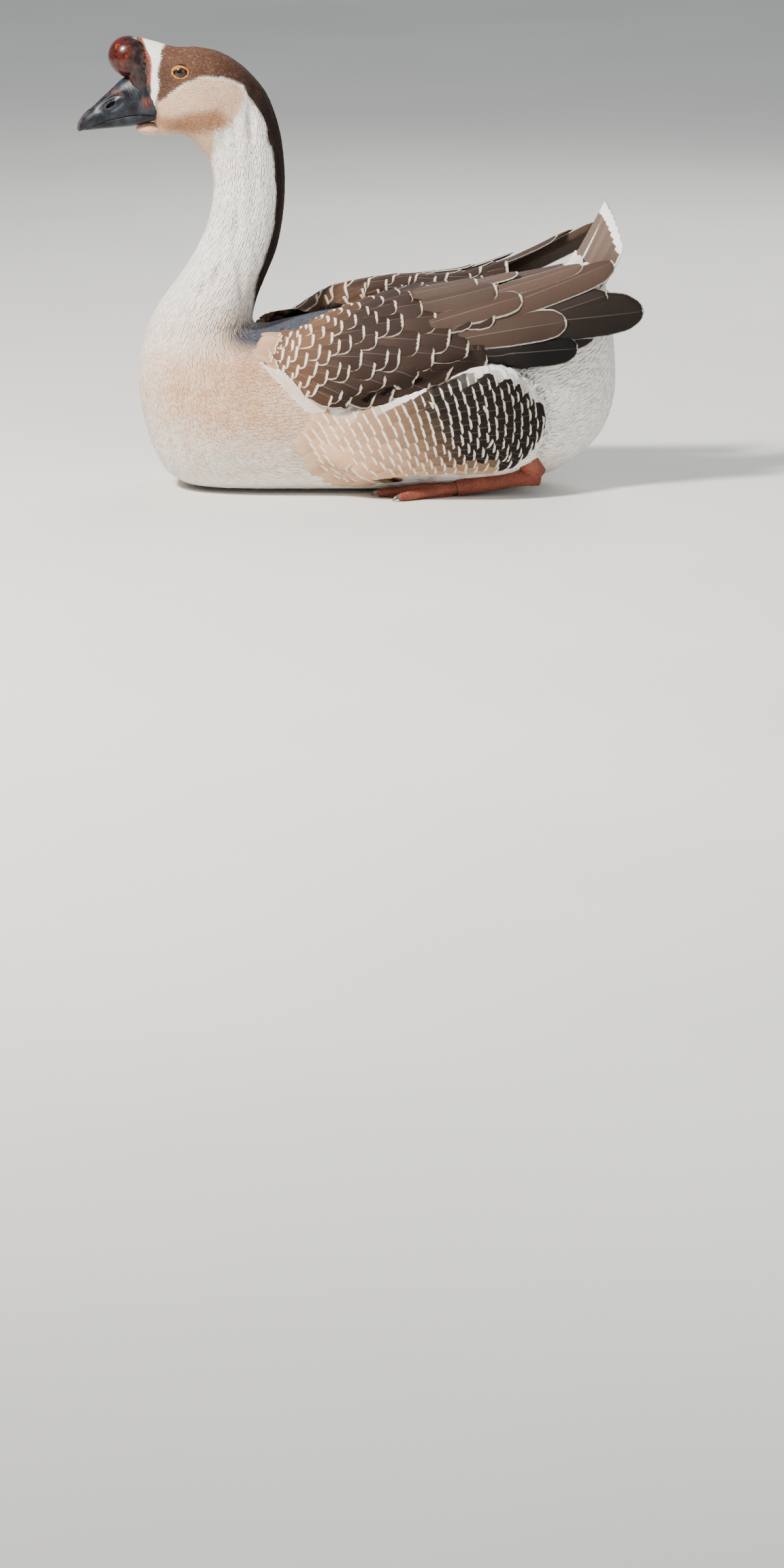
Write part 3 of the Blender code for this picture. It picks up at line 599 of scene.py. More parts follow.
def plumage_colour(finish, at, tip):
    """The colour of the coat, from the shares saved on it. tip is 1 at a feather's tip."""
    mottle = finish.noise(at, 330.0, 3.0)
    cloud = finish.noise(at, 60.0, 3.0)
    grain = finish.noise(at, 900.0, 2.0)
    white = finish.mix(WHITE, CREAM, cloud.ramp(0.35, 0.75) * 0.55)
    colour = finish.mix(white, BUFF, finish.read("breast") * (cloud * 0.5 + 0.65))
    colour = finish.mix(colour, WARM_TAN, finish.read("warm") * (cloud * 0.6 + 0.35))
    streak = finish.read("neck_foot") * mottle.ramp(0.42, 0.66)
    colour = finish.mix(colour, WARM_TAN, streak * 0.75)
    ripple = finish.read("bars") * cloud.ramp(0.5, 0.66)
    colour = finish.mix(colour, BAR_BROWN, ripple * 0.35)
    colour = finish.mix(colour, CHEEK_BUFF, finish.read("cheek") * (cloud * 0.3 + 0.7))
    colour = finish.mix(colour, JAW_TAN, finish.read("tan") * (mottle * 0.5 + 0.6))
    brown = finish.mix(CAP_BROWN, CAP_PALE, mottle.ramp(0.5, 0.72) * 0.75 + tip * 0.18)
    brown = finish.mix(brown, NAPE_DARK, grain.ramp(0.52, 0.7) * 0.5)
    # Dark mottling before the eye is painted shade in the hollow there.
    brown = finish.mix(brown, NAPE_DARK, finish.read("lore") * mottle.ramp(0.38, 0.58) * 0.8)
    brown = finish.mix(brown, NAPE_DARK, finish.read("nape") * (cloud * 0.3 + 0.78))
    colour = finish.mix(colour, CAP_BROWN, finish.read("jaw_edge") * 0.75)
    colour = finish.mix(colour, brown, finish.read("cap"))
    colour = finish.mix(colour, BAND_WHITE, finish.read("band"))
    # The mantle between the wings is painted dark blue-grey: painted shade over its own grey feathers, whose
    # scalloped pale edges are their own colour.
    blue = finish.mix(MANTLE_SHADE_BLUE, rgb(98, 102, 110), mottle.ramp(0.45, 0.7) * 0.6 + tip * 0.35)
    colour = finish.mix(colour, blue, finish.read("mantle"))
    return finish.mix(colour, STRIP_ORANGE, finish.read("gape") * mottle.ramp(0.4, 0.6))


skin_finish = Finish("goose_skin", Roughness=0.85)
skin_at = skin_finish.place()
skin_tint = plumage_colour(skin_finish, skin_at, 0.0)
skin_grit = skin_finish.noise(skin_at, 620.0, 4.0)
bare_tint = skin_finish.mix(rgb(44, 38, 40), rgb(74, 66, 66), skin_grit.ramp(0.4, 0.7))
strip_here = skin_finish.read("strip") * skin_grit.ramp(0.34, 0.52)
strip_tint = skin_finish.mix(rgb(140, 62, 30), STRIP_ORANGE, skin_grit.ramp(0.5, 0.7))
bare_tint = skin_finish.mix(bare_tint, strip_tint, strip_here)
skin_tint = skin_finish.mix(skin_tint, bare_tint, skin_finish.read("face_skin"))
# The skin is darkened to 0.82 of its colour: painted shade under the coat that lies over it.
skin_finish.feed("Base Color", skin_finish.darker(skin_tint, 0.82))
skin_finish.bump(skin_finish.noise(skin_at, 700.0, 4.0), 0.0006, 0.8)


def soft_normal(finish, share):
    """Turns a feather's own direction part of the way to that of the form it lies on."""
    own = finish.node("ShaderNodeNewGeometry", out="Normal")
    lain = finish.read("lay_out", "Vector")
    parts = [finish.node("ShaderNodeVectorMath", {"operation": "SCALE"}, {"Vector": v, "Scale": k})
             for v, k in ((own, 1 - share), (lain, share))]
    both = finish.node("ShaderNodeVectorMath", {"operation": "ADD"}, {0: parts[0], 1: parts[1]})
    return finish.node("ShaderNodeVectorMath", {"operation": "NORMALIZE"}, {0: both})


coat_finish = Finish("small_feathers", Roughness=0.78, Specular_IOR_Level=0.25)
coat_vane = coat_finish.node("ShaderNodeSeparateXYZ", {}, {0: coat_finish.read("vane", "Vector")})
coat_along = Strand(coat_finish, coat_vane.socket.node.outputs["Y"])
coat_tint = plumage_colour(coat_finish, coat_finish.place(), coat_along.ramp(0.6, 1.0))
# Each feather gets a random tone and a darker root: painted shade under the neighbours that lie over it.
coat_tone_and_root_shade = coat_finish.read("tone") * 0.09 + coat_along.ramp(-0.1, 0.75) * 0.14 + 0.88
coat_finish.feed("Base Color", coat_finish.darker(coat_tint, coat_tone_and_root_shade))
coat_finish.feed("Normal", soft_normal(coat_finish, 0.82))

strip = (1 - within(side_view(points), [(x - 4.2, z) for x, z in FACE_SKIN], 1.0)) * marks["face_skin"]
strip *= rise(points[:, 2], 462, 468)
skin = mesh_piece(
    "goose_skin", points, faces, skin_finish, {"OFBake": loops, "unwrap": loops},
    outward=out_all, lie=lie_all,
    grow_size=grow_size, strip=strip,
    **{f"grow_{name}": share for name, share in growth.items()}, **marks)
print("skin made, finishes:", skin_finish.material.name, coat_finish.material.name)

# %% [markdown]
# ## One feather, many times
# A feather is a thin closed vane: a flat outline, which the laying tree bends up along its middle,
# so that its edges are fine. Each point of it knows how far across and along it lies. Those
# numbers later give its lift, its barbs and its pale margin. A few shapes of one kind are enough,
# as size and turn vary too.

# %% Feather shapes
FEATHER_OUTLINES = {
    "plume": [(0, 0.35), (0.3, 0.8), (0.62, 1.0), (0.85, 0.74), (1, 0.12)],
    "covert": [(0, 0.5), (0.25, 0.92), (0.6, 1.0), (0.8, 0.98), (0.91, 0.86), (0.97, 0.66), (1, 0.42)],
    "bar": [(0, 0.5), (0.3, 0.92), (0.65, 1.0), (0.84, 0.97), (0.93, 0.85), (0.98, 0.65), (1, 0.45)],
    "flight": [(0, 0.4), (0.15, 0.75), (0.5, 0.98), (0.8, 1.0), (0.91, 0.88), (0.97, 0.6), (1, 0.25)],
}


def feather_shape(name, kind, rows, across, ragged, seed):
    """A closed vane one unit long along +X and one unit wide to each side."""
    chance = np.random.default_rng(seed)
    l = np.linspace(0, 1, rows) ** 0.8
    stops = FEATHER_OUTLINES[kind]
    w = np.interp(l, [a for a, _ in stops], [b for _, b in stops])
    u = np.linspace(-1, 1, across + 1)
    sides = np.ones((rows, across + 1))
    for side in (0, -1):
        sides[:, side] = 1 - ragged * chance.random(rows) * (l > 0.4)
    wide = w[:, None] * u[None, :] * sides
    x = np.repeat(l[:, None], across + 1, axis=1)
    x = x - ragged * 0.35 * chance.random(x.shape) * (l[:, None] > 0.7)
    points = np.stack([x, wide, np.zeros_like(x)], axis=-1).reshape(-1, 3)
    n = across + 1
    faces = []
    for j in range(rows - 1):
        for i in range(across):
            faces.append((j * n + i, (j + 1) * n + i, (j + 1) * n + i + 1, j * n + i + 1))
        faces.append((j * n, j * n + across, (j + 1) * n + across, (j + 1) * n))
    faces.append(tuple(range(n)))
    faces.append(tuple((rows - 1) * n + i for i in range(across, -1, -1)))
    vane = np.stack([np.tile(u, rows), np.repeat(l, n), np.repeat(w, n)], axis=-1)
    piece = mesh_piece(name, points / MM, faces, vane=vane)
    bpy.context.scene.collection.objects.unlink(piece)
    return piece


def feather_set(name, kind, rows, across, ragged, count=3):
    """A collection of feathers of one kind, for a tree to pick from."""
    group = bpy.data.collections.new(name)
    for k in range(count):
        group.objects.link(feather_shape(f"{name}_{k}", kind, rows, across, ragged, k + 1))
    return group


feather_sets = {
    "down": feather_set("down", "plume", 4, 2, 0.0),
    "plume": feather_set("plume", "plume", 5, 2, 0.05),
    "bar": feather_set("bar", "bar", 16, 12, 0.07),
    "covert": feather_set("covert", "covert", 20, 14, 0.06),
    "flight": feather_set("flight", "flight", 32, 12, 0.02),
}

# %% [markdown]
# ## Laying feathers with Geometry Nodes
# The laying tree takes root points that know which way is out and which way the coat lies. It puts
# a feather on each, makes the copies real, and then presses them onto the form: every point moves
# to the nearest place on the surface and rises from it by its own lift, so a feather bends with the
# body and only its tip stands off. The growing tree scatters the roots first, evenly spaced.

# %% The laying tree
PATCH = 0.003


def new_tree(name, sockets):
    """An empty Geometry Nodes tree with named inputs and one geometry output."""
    tree = bpy.data.node_groups.new(name, "GeometryNodeTree")
    tree.interface.new_socket("Geometry", in_out="OUTPUT", socket_type="NodeSocketGeometry")
    for label, kind in sockets.items():
        tree.interface.new_socket(label, in_out="INPUT", socket_type="NodeSocket" + kind)
    bench = Bench(tree)
    entry = tree.nodes.new("NodeGroupInput")
    given = {s.name: Strand(bench, s) for s in entry.outputs if s.name}
    return bench, given


def finish_tree(bench, geometry):
    end = bench.tree.nodes.new("NodeGroupOutput")
    bench.tree.links.new(geometry.socket, end.inputs["Geometry"])
    return bench.tree


def field(bench, name, kind="FLOAT"):
    """The numbers saved under a name, for a tree."""
    return bench.node("GeometryNodeInputNamedAttribute", {"data_type": kind}, {"Name": name})


def parts_of(bench, vector):
    split = bench.node("ShaderNodeSeparateXYZ", {}, {0: vector}).socket.node
    return [Strand(bench, s) for s in split.outputs]


def save(bench, geometry, name, value, kind="FLOAT", domain="POINT"):
    return bench.node("GeometryNodeStoreNamedAttribute", {"data_type": kind, "domain": domain},
                      {"Geometry": geometry, "Name": name, "Value": value})


LAY_INPUTS = {"Roots": "Geometry", "Surface": "Object", "Feathers": "Collection", "Camber": "Float",
              "Sink": "Float", "Patch": "Float", "Finish": "Material"}


def laying_tree():
    bench, given = new_tree("lay_feathers", LAY_INPUTS)
    turned = bench.node("FunctionNodeAxesToRotation", {"primary_axis": "X", "secondary_axis": "Z"}, {
        "Primary Axis": field(bench, "root_lie", "FLOAT_VECTOR"),
        "Secondary Axis": field(bench, "root_out", "FLOAT_VECTOR")})
    long, wide, _ = parts_of(bench, field(bench, "size", "FLOAT_VECTOR"))
    scale = bench.node("ShaderNodeCombineXYZ", {}, {0: long, 1: wide, 2: MM})
    shapes = bench.node("GeometryNodeCollectionInfo", {"transform_space": "ORIGINAL"}, {
        "Collection": given["Feathers"], "Separate Children": True, "Reset Children": True})
    copies = bench.node("GeometryNodeInstanceOnPoints", {}, {
        "Points": given["Roots"], "Instance": shapes, "Pick Instance": True,
        "Instance Index": field(bench, "pick", "INT"), "Rotation": turned, "Scale": scale})
    real = bench.node("GeometryNodeRealizeInstances", {}, {"Geometry": copies})
    across, along, _ = parts_of(bench, field(bench, "vane", "FLOAT_VECTOR"))
    _, half, lift = parts_of(bench, field(bench, "size", "FLOAT_VECTOR"))
    height = lift * along ** 1.4 + half * given["Camber"] * (1.0 - across * across) - given["Sink"]
    height = height + half * field(bench, "roll") * across + field(bench, "base")
    surface = bench.node("GeometryNodeObjectInfo", {"transform_space": "ORIGINAL"},
                         {"Object": given["Surface"]}, out="Geometry")
    near = {}
    for label, value in (("at", bench.node("GeometryNodeInputPosition")),
                         ("out", field(bench, "outward", "FLOAT_VECTOR"))):
        near[label] = bench.node("GeometryNodeSampleNearestSurface", {"data_type": "FLOAT_VECTOR"},
                                 {"Mesh": surface, "Value": value})
    raised = bench.node("ShaderNodeVectorMath", {"operation": "SCALE"},
                        {"Vector": near["out"], "Scale": height})
    spot_at = bench.node("ShaderNodeVectorMath", {"operation": "ADD"}, {0: near["at"], 1: raised})
    real = save(bench, real, "lay_out", near["out"], "FLOAT_VECTOR")
    pressed = bench.node("GeometryNodeSetPosition", {}, {"Geometry": real, "Position": spot_at})
    root_u, root_v, _ = parts_of(bench, field(bench, "root_uv", "FLOAT_VECTOR"))
    patch_at = bench.node("ShaderNodeCombineXYZ", {}, {
        0: root_u + across * given["Patch"] * 0.5, 1: root_v + (along - 0.5) * given["Patch"]})
    mapped = save(bench, pressed, "OFBake", patch_at, "FLOAT2", "CORNER")
    done = bench.node("GeometryNodeSetMaterial", {}, {"Geometry": mapped, "Material": given["Finish"]})
    return finish_tree(bench, done)


lay_tree = laying_tree()
print(lay_tree.name, len(lay_tree.nodes), "nodes")

# %% The growing tree
GROW_INPUTS = {"Skin": "Geometry", "Growth": "String", "Spacing": "Float", "Length": "Float",
               "Width": "Float", "Lift": "Float", "Spread": "Float", "Seed": "Int",
               **{k: v for k, v in LAY_INPUTS.items() if k != "Roots"}}


def growing_tree():
    bench, given = new_tree("grow_coat", GROW_INPUTS)

    def chance(low, high, step):
        seed = bench.node("ShaderNodeMath", {"operation": "ADD"}, {0: given["Seed"], 1: float(step)})
        return bench.node("FunctionNodeRandomValue", {"data_type": "FLOAT"},
                          {"Min": low, "Max": high, "Seed": seed})

    share = bench.node("GeometryNodeInputNamedAttribute", {"data_type": "FLOAT"},
                       {"Name": given["Growth"]})
    roots = bench.node("GeometryNodeDistributePointsOnFaces", {"distribute_method": "POISSON"}, {
        "Mesh": given["Skin"], "Distance Min": given["Spacing"], "Density Max": 400000.0,
        "Density Factor": share, "Seed": given["Seed"]})
    out_way = field(bench, "outward", "FLOAT_VECTOR")
    lie_way = bench.node("ShaderNodeVectorRotate", {"rotation_type": "AXIS_ANGLE"}, {
        "Vector": field(bench, "lie", "FLOAT_VECTOR"), "Axis": out_way,
        "Angle": given["Spread"] * chance(-1.0, 1.0, 1)})
    fit = field(bench, "grow_size")
    size = bench.node("ShaderNodeCombineXYZ", {}, {
        0: given["Length"] * fit * chance(0.85, 1.15, 2), 1: given["Width"] * fit * chance(0.85, 1.15, 3),
        2: given["Lift"] * fit * chance(0.6, 1.5, 4)})
    for name, value, kind in (
            ("root_out", out_way, "FLOAT_VECTOR"), ("root_lie", lie_way, "FLOAT_VECTOR"),
            ("size", size, "FLOAT_VECTOR"),
            ("root_uv", field(bench, "unwrap", "FLOAT_VECTOR"), "FLOAT_VECTOR"),
            ("tone", chance(-1.0, 1.0, 5), "FLOAT"), ("roll", 0.0, "FLOAT"), ("base", 0.0, "FLOAT"),
            ("pick", chance(0.0, 2.99, 6), "FLOAT")):
        roots = save(bench, roots, name, value, kind)
    laid = bench.tree.nodes.new("GeometryNodeGroup")
    laid.node_tree = lay_tree
    bench.tree.links.new(roots.socket, laid.inputs["Roots"])
    for name in LAY_INPUTS:
        if name != "Roots":
            bench.tree.links.new(given[name].socket, laid.inputs[name])
    return finish_tree(bench, Strand(bench, laid.outputs[0]))


grow_tree = growing_tree()
print(grow_tree.name, len(grow_tree.nodes), "nodes")


# %% Turn a tree's result into a plain mesh
SHADE_NUMBERS = {"vane", "tone", "lay_out", "half_mm", "long_mm", "dark", "fringe_mm", "pale_root",
                 "tip_mm", "white"} | set(marks)


def made_by(tree, name, base_mesh, **inputs):
    """Runs a tree on a mesh with these inputs and returns its result as an object of its own."""
    holder = bpy.data.objects.new(name + "_holder", base_mesh)
    bpy.context.scene.collection.objects.link(holder)
    modifier = holder.modifiers.new("tree", "NODES")
    modifier.node_group = tree
    keys = {s.name: s.identifier for s in tree.interface.items_tree if s.in_out == "INPUT"}
    for label, value in inputs.items():
        modifier[keys[label]] = value
    graph = bpy.context.evaluated_depsgraph_get()
    mesh = bpy.data.meshes.new_from_object(holder.evaluated_get(graph))
    mesh.name = name
    holder.modifiers.clear()
    bpy.data.objects.remove(holder)
    for attribute in [a.name for a in mesh.attributes]:
        found = mesh.attributes[attribute]
        if attribute not in SHADE_NUMBERS and not found.is_internal and not found.is_required \
                and attribute not in ("OFBake", "sharp_face", "material_index", ".edge_verts"):
            mesh.attributes.remove(found)
    mesh.shade_smooth()
    piece = bpy.data.objects.new(name, mesh)
    bpy.context.scene.collection.objects.link(piece)
    return piece


COATS = {
    # growth: spacing, length, width to one side, tip lift, spread, feather set, camber, sink
    "head": (1.5, 4.6, 0.95, 0.22, 0.16, "down", 0.12, 0.06),
    "neck": (1.9, 10.0, 1.2, 0.24, 0.09, "plume", 0.1, -0.08),
    "neck_foot": (2.2, 11.0, 1.3, 0.24, 0.1, "plume", 0.1, -0.05),
    "breast": (3.1, 13.0, 1.75, 0.2, 0.1, "plume", 0.06, 0.15),
    "belly": (3.75, 18.0, 2.2, 0.2, 0.12, "plume", 0.05, 0.15),
    "rump": (3.5, 19.0, 2.2, 0.2, 0.12, "plume", 0.05, 0.15),
}
coats = []
for seed, (name, row) in enumerate(COATS.items()):
    spacing, length, width, lift, spread, kind, camber, sink = row
    coats.append(made_by(
        grow_tree, f"{name}_feathers", skin.data, Growth=f"grow_{name}", Spacing=spacing * MM,
        Length=length * MM, Width=width * MM, Lift=lift * MM, Spread=spread, Seed=seed + 3, Surface=skin,
        Feathers=feather_sets[kind], Camber=camber, Sink=sink * MM, Patch=PATCH, Finish=coat_finish.material))
    coats[-1].data.calc_loop_triangles()
    print(coats[-1].name, "triangles:", len(coats[-1].data.loop_triangles))

# %% [markdown]
# ## Large feathers laid one by one
# Coverts, flight feathers, flank bars and the tail are known by number and place, so their roots
# are worked out here and not scattered. Each is told by its tip on a guide surface, its heading and
# its size. The same laying tree then presses it onto the guide, with a base height that decides
# which feather lies over which. Every large vane has its own square in the unwrap.

# %% Guides and rows of large feathers
def guide_piece(name, grid):
    """A surface that large feathers are pressed onto; it is taken away again afterwards."""
    rows, across = grid.shape[:2]
    normal = np.cross(np.gradient(grid, axis=1), np.gradient(grid, axis=0))
    normal /= np.linalg.norm(normal, axis=-1, keepdims=True)
    if (normal[rows // 2, across // 2] * grid[rows // 2, across // 2] * (0, 1, 0.3)).sum() < 0:
        normal = -normal
    j, i = np.meshgrid(np.arange(rows - 1), np.arange(across - 1), indexing="ij")
    a = (j * across + i).ravel()
    faces = np.stack([a, a + 1, a + across + 1, a + across], axis=-1).tolist()
    piece = mesh_piece(name, grid.reshape(-1, 3), faces, outward=normal.reshape(-1, 3))
    return piece


def vane_finish(name, inks, fringe_pale, shaft_shows=0.35, rim_from=(0.18, 0.5)):
    """A large feather's finish: its ink by the saved share dark, pale fringe, shaft and barbs."""
    finish = Finish(name, Roughness=0.62, Specular_IOR_Level=0.18)
    vane = finish.node("ShaderNodeSeparateXYZ", {}, {0: finish.read("vane", "Vector")}).socket.node
    across, along, half_share = [Strand(finish, s) for s in vane.outputs]
    half_mm = finish.read("half_mm")
    off = (across * across) ** 0.5
    at = finish.place()
    fleck = finish.noise(at, 420.0, 3.0)
    cloud = finish.noise(at, 45.0, 2.0)
    # Barbs leave the shaft at a slant, so their phase grows outwards and towards the tip.
    phase = (along * finish.read("long_mm") - off * half_mm * 0.9) * 5.2 + cloud * 3.0
    barb = finish.node("ShaderNodeMath", {"operation": "SINE"}, {0: phase}) * 0.5 + 0.5
    dark = finish.read("dark")
    ink = finish.mix(inks[0], inks[1], dark)
    ink = finish.mix(ink, inks[2], finish.read("pale_root") * (1.0 - along.ramp(0.3, 0.8)))
    ink = finish.darker(ink, finish.read("tone") * 0.14 + fleck * 0.26 + barb * 0.05 + 0.77)
    side_edge = (1.0 - off) * half_share * half_mm - finish.read("fringe_mm")
    tip_edge = (1.0 - along) * finish.read("long_mm") - finish.read("tip_mm")
    nearer = finish.node("ShaderNodeMath", {"operation": "MINIMUM"}, {0: side_edge, 1: tip_edge})
    away = nearer + (fleck - 0.5) * 1.5 + (barb - 0.5) * 0.9
    colour = finish.mix(ink, fringe_pale, (1.0 - away.ramp(-0.7, 0.6)) * along.ramp(*rim_from))
    shaft = 1.0 - (off * half_mm).ramp(0.25, 0.7)
    shaft_tint = finish.mix(ink, rgb(206, 190, 172), 0.5)
    colour = finish.mix(colour, shaft_tint, shaft * (1.0 - along * 0.7) * shaft_shows)
    white = finish.darker(finish.mix(rgb(240, 238, 234), rgb(214, 204, 192), cloud.ramp(0.4, 0.8)),
                          fleck * 0.12 + 0.92)
    finish.feed("Base Color", finish.mix(colour, white, finish.read("white")))
    ridge = finish.node("ShaderNodeBump", {}, {
        "Height": barb * 0.6 + fleck * 0.5 + shaft * 1.5, "Distance": 0.0003, "Strength": 0.7})
    finish.feed("Normal", ridge)
    return finish


WING_BROWNS = (rgb(106, 78, 60), rgb(48, 35, 29), rgb(88, 68, 56))
wing_finish = vane_finish("wing_vanes", WING_BROWNS, rgb(232, 214, 194))
flight_finish = vane_finish("flight_vanes", (rgb(86, 68, 58), rgb(13, 10, 9), rgb(96, 80, 70)),
                            rgb(220, 212, 200), shaft_shows=0.4)
flank_finish = vane_finish("flank_vanes", (rgb(206, 163, 129), rgb(24, 16, 12), rgb(224, 190, 160)),
                           rgb(240, 228, 210), rim_from=(0.66, 0.84))
tail_finish = vane_finish("tail_vanes", (rgb(126, 108, 98), rgb(92, 76, 68), rgb(236, 234, 230)),
                          rgb(246, 245, 243))


class FeatherBed:
    """Collects large feathers for one guide, and lays them all at once."""

    def __init__(self, name, guide, place, finish, kind):
        self.name, self.guide, self.place = name, guide, place
        self.finish, self.kind, self.rows = finish, kind, []
        self.chance = np.random.default_rng(sum(map(ord, name)))

    def add(self, tip, heading, length, width, lift=2.0, base=0.0, roll=0.0, **numbers):
        """tip is a place on the guide and heading the way to it, as (a, b) steps for place()."""
        tip_at, root_at = self.place(*tip), self.place(*heading)
        self.rows.append((tip_at, root_at, length, width, lift, base, roll, numbers))

    def lay(self, slot_name, sink=1.2, camber=0.09):
        count = len(self.rows)
        cells = math.ceil(math.sqrt(count))
        tips = np.array([row[0] for row in self.rows])
        roots = np.array([row[1] for row in self.rows])
        grid = np.array([v.co for v in self.guide.data.vertices]) / MM
        out = np.array([d.vector for d in self.guide.data.attributes["outward"].data])
        nearest = [int(np.argmin(np.linalg.norm(grid - r, axis=1))) for r in roots]
        lie_way = tips - roots
        far = np.linalg.norm(lie_way, axis=1)
        length = np.array([row[2] for row in self.rows])
        numbers = {key: [row[7].get(key, 0.0) for row in self.rows]
                   for key in ("dark", "fringe_mm", "pale_root", "white", "tip_mm")}
        cell = [((k % cells + 0.5) / cells, (k // cells + 0.5) / cells, 0) for k in range(count)]
        size = np.array([(row[2], row[3] / 2, row[4]) for row in self.rows]) * MM
        bed = mesh_piece(
            self.name + "_roots", roots, [], root_out=out[nearest], root_lie=lie_way / far[:, None],
            size=size, root_uv=np.array(cell), tone=self.chance.uniform(-1, 1, count),
            roll=[row[6] for row in self.rows], base=np.array([row[5] for row in self.rows]) * MM,
            pick=self.chance.uniform(0, 2.99, count), half_mm=size[:, 1] / MM, long_mm=length, **numbers)
        piece = made_by(lay_tree, self.name, bed.data, Surface=self.guide, Camber=camber, Sink=sink * MM,
                        Feathers=feather_sets[self.kind], Patch=0.9 / cells, Finish=self.finish.material)
        bpy.data.objects.remove(bed)
        piece.data.calc_loop_triangles()
        print(self.name, "feathers:", count, "triangles:", len(piece.data.loop_triangles))
        large_pieces.append((piece, slot_name))
        return piece


large_pieces = []

# %% [markdown]
# ## The wings
# A folded goose wing shows rows of coverts like roof tiles, small and pale at the front and large
# and dark behind, and then the long tertials and primaries lying along the back. A smooth surface
# over the folded arm carries them all. A feather further forward lies over the one behind, and a
# higher one over a lower one, as rain would want it.

# %% Wing surfaces
WING_RIBS = [
    # x, half width at the widest and at the top edge, heights of middle, top and low edges
    (-96, 98, 58, 148, 189, 134), (-60, 113, 48, 138, 206, 119), (-20, 122, 40, 132, 219, 116),
    (40, 127, 31, 132, 233, 119), (100, 126, 25, 139, 238, 124), (160, 116, 24, 148, 247, 128),
    (220, 98, 27, 162, 258, 136), (322, 68, 38, 182, 277, 154), (424, 38, 49, 202, 292, 172),
]
RIGHT_WING_RAISE = [
    (-96, 6), (-50, 15), (0, 10), (60, 2), (110, 2), (160, 11), (200, 23), (250, 39), (320, 52),
]
WING_SLANT, WING_NOSE, NOSE_AT, NOSE_FADE = 34, 34, 0.62, 110
TUCK, ROLL_RADIUS = 10, 15


def flank_top(x):
    """The height of the flank pad's upper edge."""
    return np.interp(x, [row[0] for row in FLANK], [row[1] + row[2] for row in FLANK])


def wing_point(side, x, v, lift=0.0):
    """The wing's outer surface at x and at share v of the way from its low to its top edge."""
    x, v = np.broadcast_arrays(np.asarray(x, float), v)
    t = np.interp(x, [row[0] for row in WING_RIBS], range(len(WING_RIBS)))
    wide, top, middle, high, low = np.moveaxis(through([row[1:] for row in WING_RIBS], t), -1, 0)
    first = np.arcsin(np.clip((low - middle) / (high - middle), -0.9, 0.9))
    angle = first + (math.pi / 2 - first) * v
    c, s = np.cos(angle), np.sin(angle)
    steep = np.hypot(c / (wide - top), s / (high - middle))
    y = top + (wide - top) * c + c / (wide - top) / steep * lift
    z = middle + (high - middle) * s + s / (high - middle) / steep * lift
    nose = WING_NOSE * ((v - NOSE_AT) / NOSE_AT)**2 * np.clip(1 - (x - WING_RIBS[0][0]) / NOSE_FADE, 0, 1.1)
    # The low edge tucks in under the flank, and above the top edge the surface rolls in towards the back.
    y = y - TUCK * rise(flank_top(x) + 16 - z, 0, 16) - 16 * rise(-x, 98, 140)
    roll = np.clip((v - 1) / 0.35, 0, 1) * 1.9
    y = np.where(v > 1, top - ROLL_RADIUS * np.sin(roll), y)
    z = np.where(v > 1, high - ROLL_RADIUS * (1 - np.cos(roll)) + lift, z)
    if side > 0:
        z = z + v * np.interp(x, *zip(*RIGHT_WING_RAISE))
    return np.stack([x + WING_SLANT * (v - 0.5) + nose, side * y, z], axis=-1)


def wing_arc(side, x):
    line = wing_point(side, float(x), np.linspace(0, 1, 40))
    return float(np.linalg.norm(np.diff(line, axis=0), axis=1).sum())


def wing_share(x, height):
    """The share v at which the surface at x has this height on the near wing."""
    shares = np.linspace(0, 1, 200)
    return float(np.interp(height, wing_point(-1, float(x), shares)[:, 2], shares))


COVERT_ROWS = [
    # x of the tips, feathers, length, width
    (-84, 6, 26, 27), (-74, 6, 28, 28), (-64, 6, 30, 29), (-53, 6, 33, 30), (-42, 6, 35, 31),
    (-31, 6, 38, 32), (-19, 6, 41, 33), (-7, 5, 44, 36), (6, 5, 47, 38), (20, 5, 51, 40),
    (35, 5, 55, 42), (52, 4, 58, 46), (70, 4, 62, 48), (89, 4, 66, 50), (109, 4, 70, 51),
    (130, 4, 72, 49), (152, 3, 74, 46),
]
FLIGHTS = [
    # tip x, tip height, heading, length, width, lift, base, darkness, fringe
    (216, 163, -7, 130, 34, 1.5, -2.0, 0.95, 0.6), (250, 171, -5, 150, 38, 1.5, -0.5, 1.0, 0.7),
    (274, 187, -1, 165, 32, 1.5, -2.5, 0.95, 0.4), (326, 211, -4, 205, 55, 2.0, -0.5, 0.85, 1.0),
    (240, 203, 1, 140, 37, 2.0, 1.8, 0.5, 1.5), (300, 236, 10, 185, 34, 1.5, 0.2, 0.8, 0.8),
    (311, 272, 20, 205, 40, 2.0, 2.6, 0.2, 1.3), (240, 266, 6, 125, 34, 2.0, 1.0, 0.5, 1.0),
    (268, 263, 14, 160, 28, 2.0, 4.4, 0.05, 1.2), (193, 229, 11, 110, 34, 2.0, 4.4, 0.25, 1.8),
    (187, 249, 9, 90, 24, 2.0, 5.8, 0.1, 1.6), (162, 236, 9, 88, 46, 2.5, 4.8, 0.35, 2.2),
    (140, 240, 10, 78, 40, 2.5, 5.5, 0.3, 2.2),
]
CAPE_LENGTH, CAPE_WIDTH, CAPE_ARC = 25, 11, 120
wings = {}
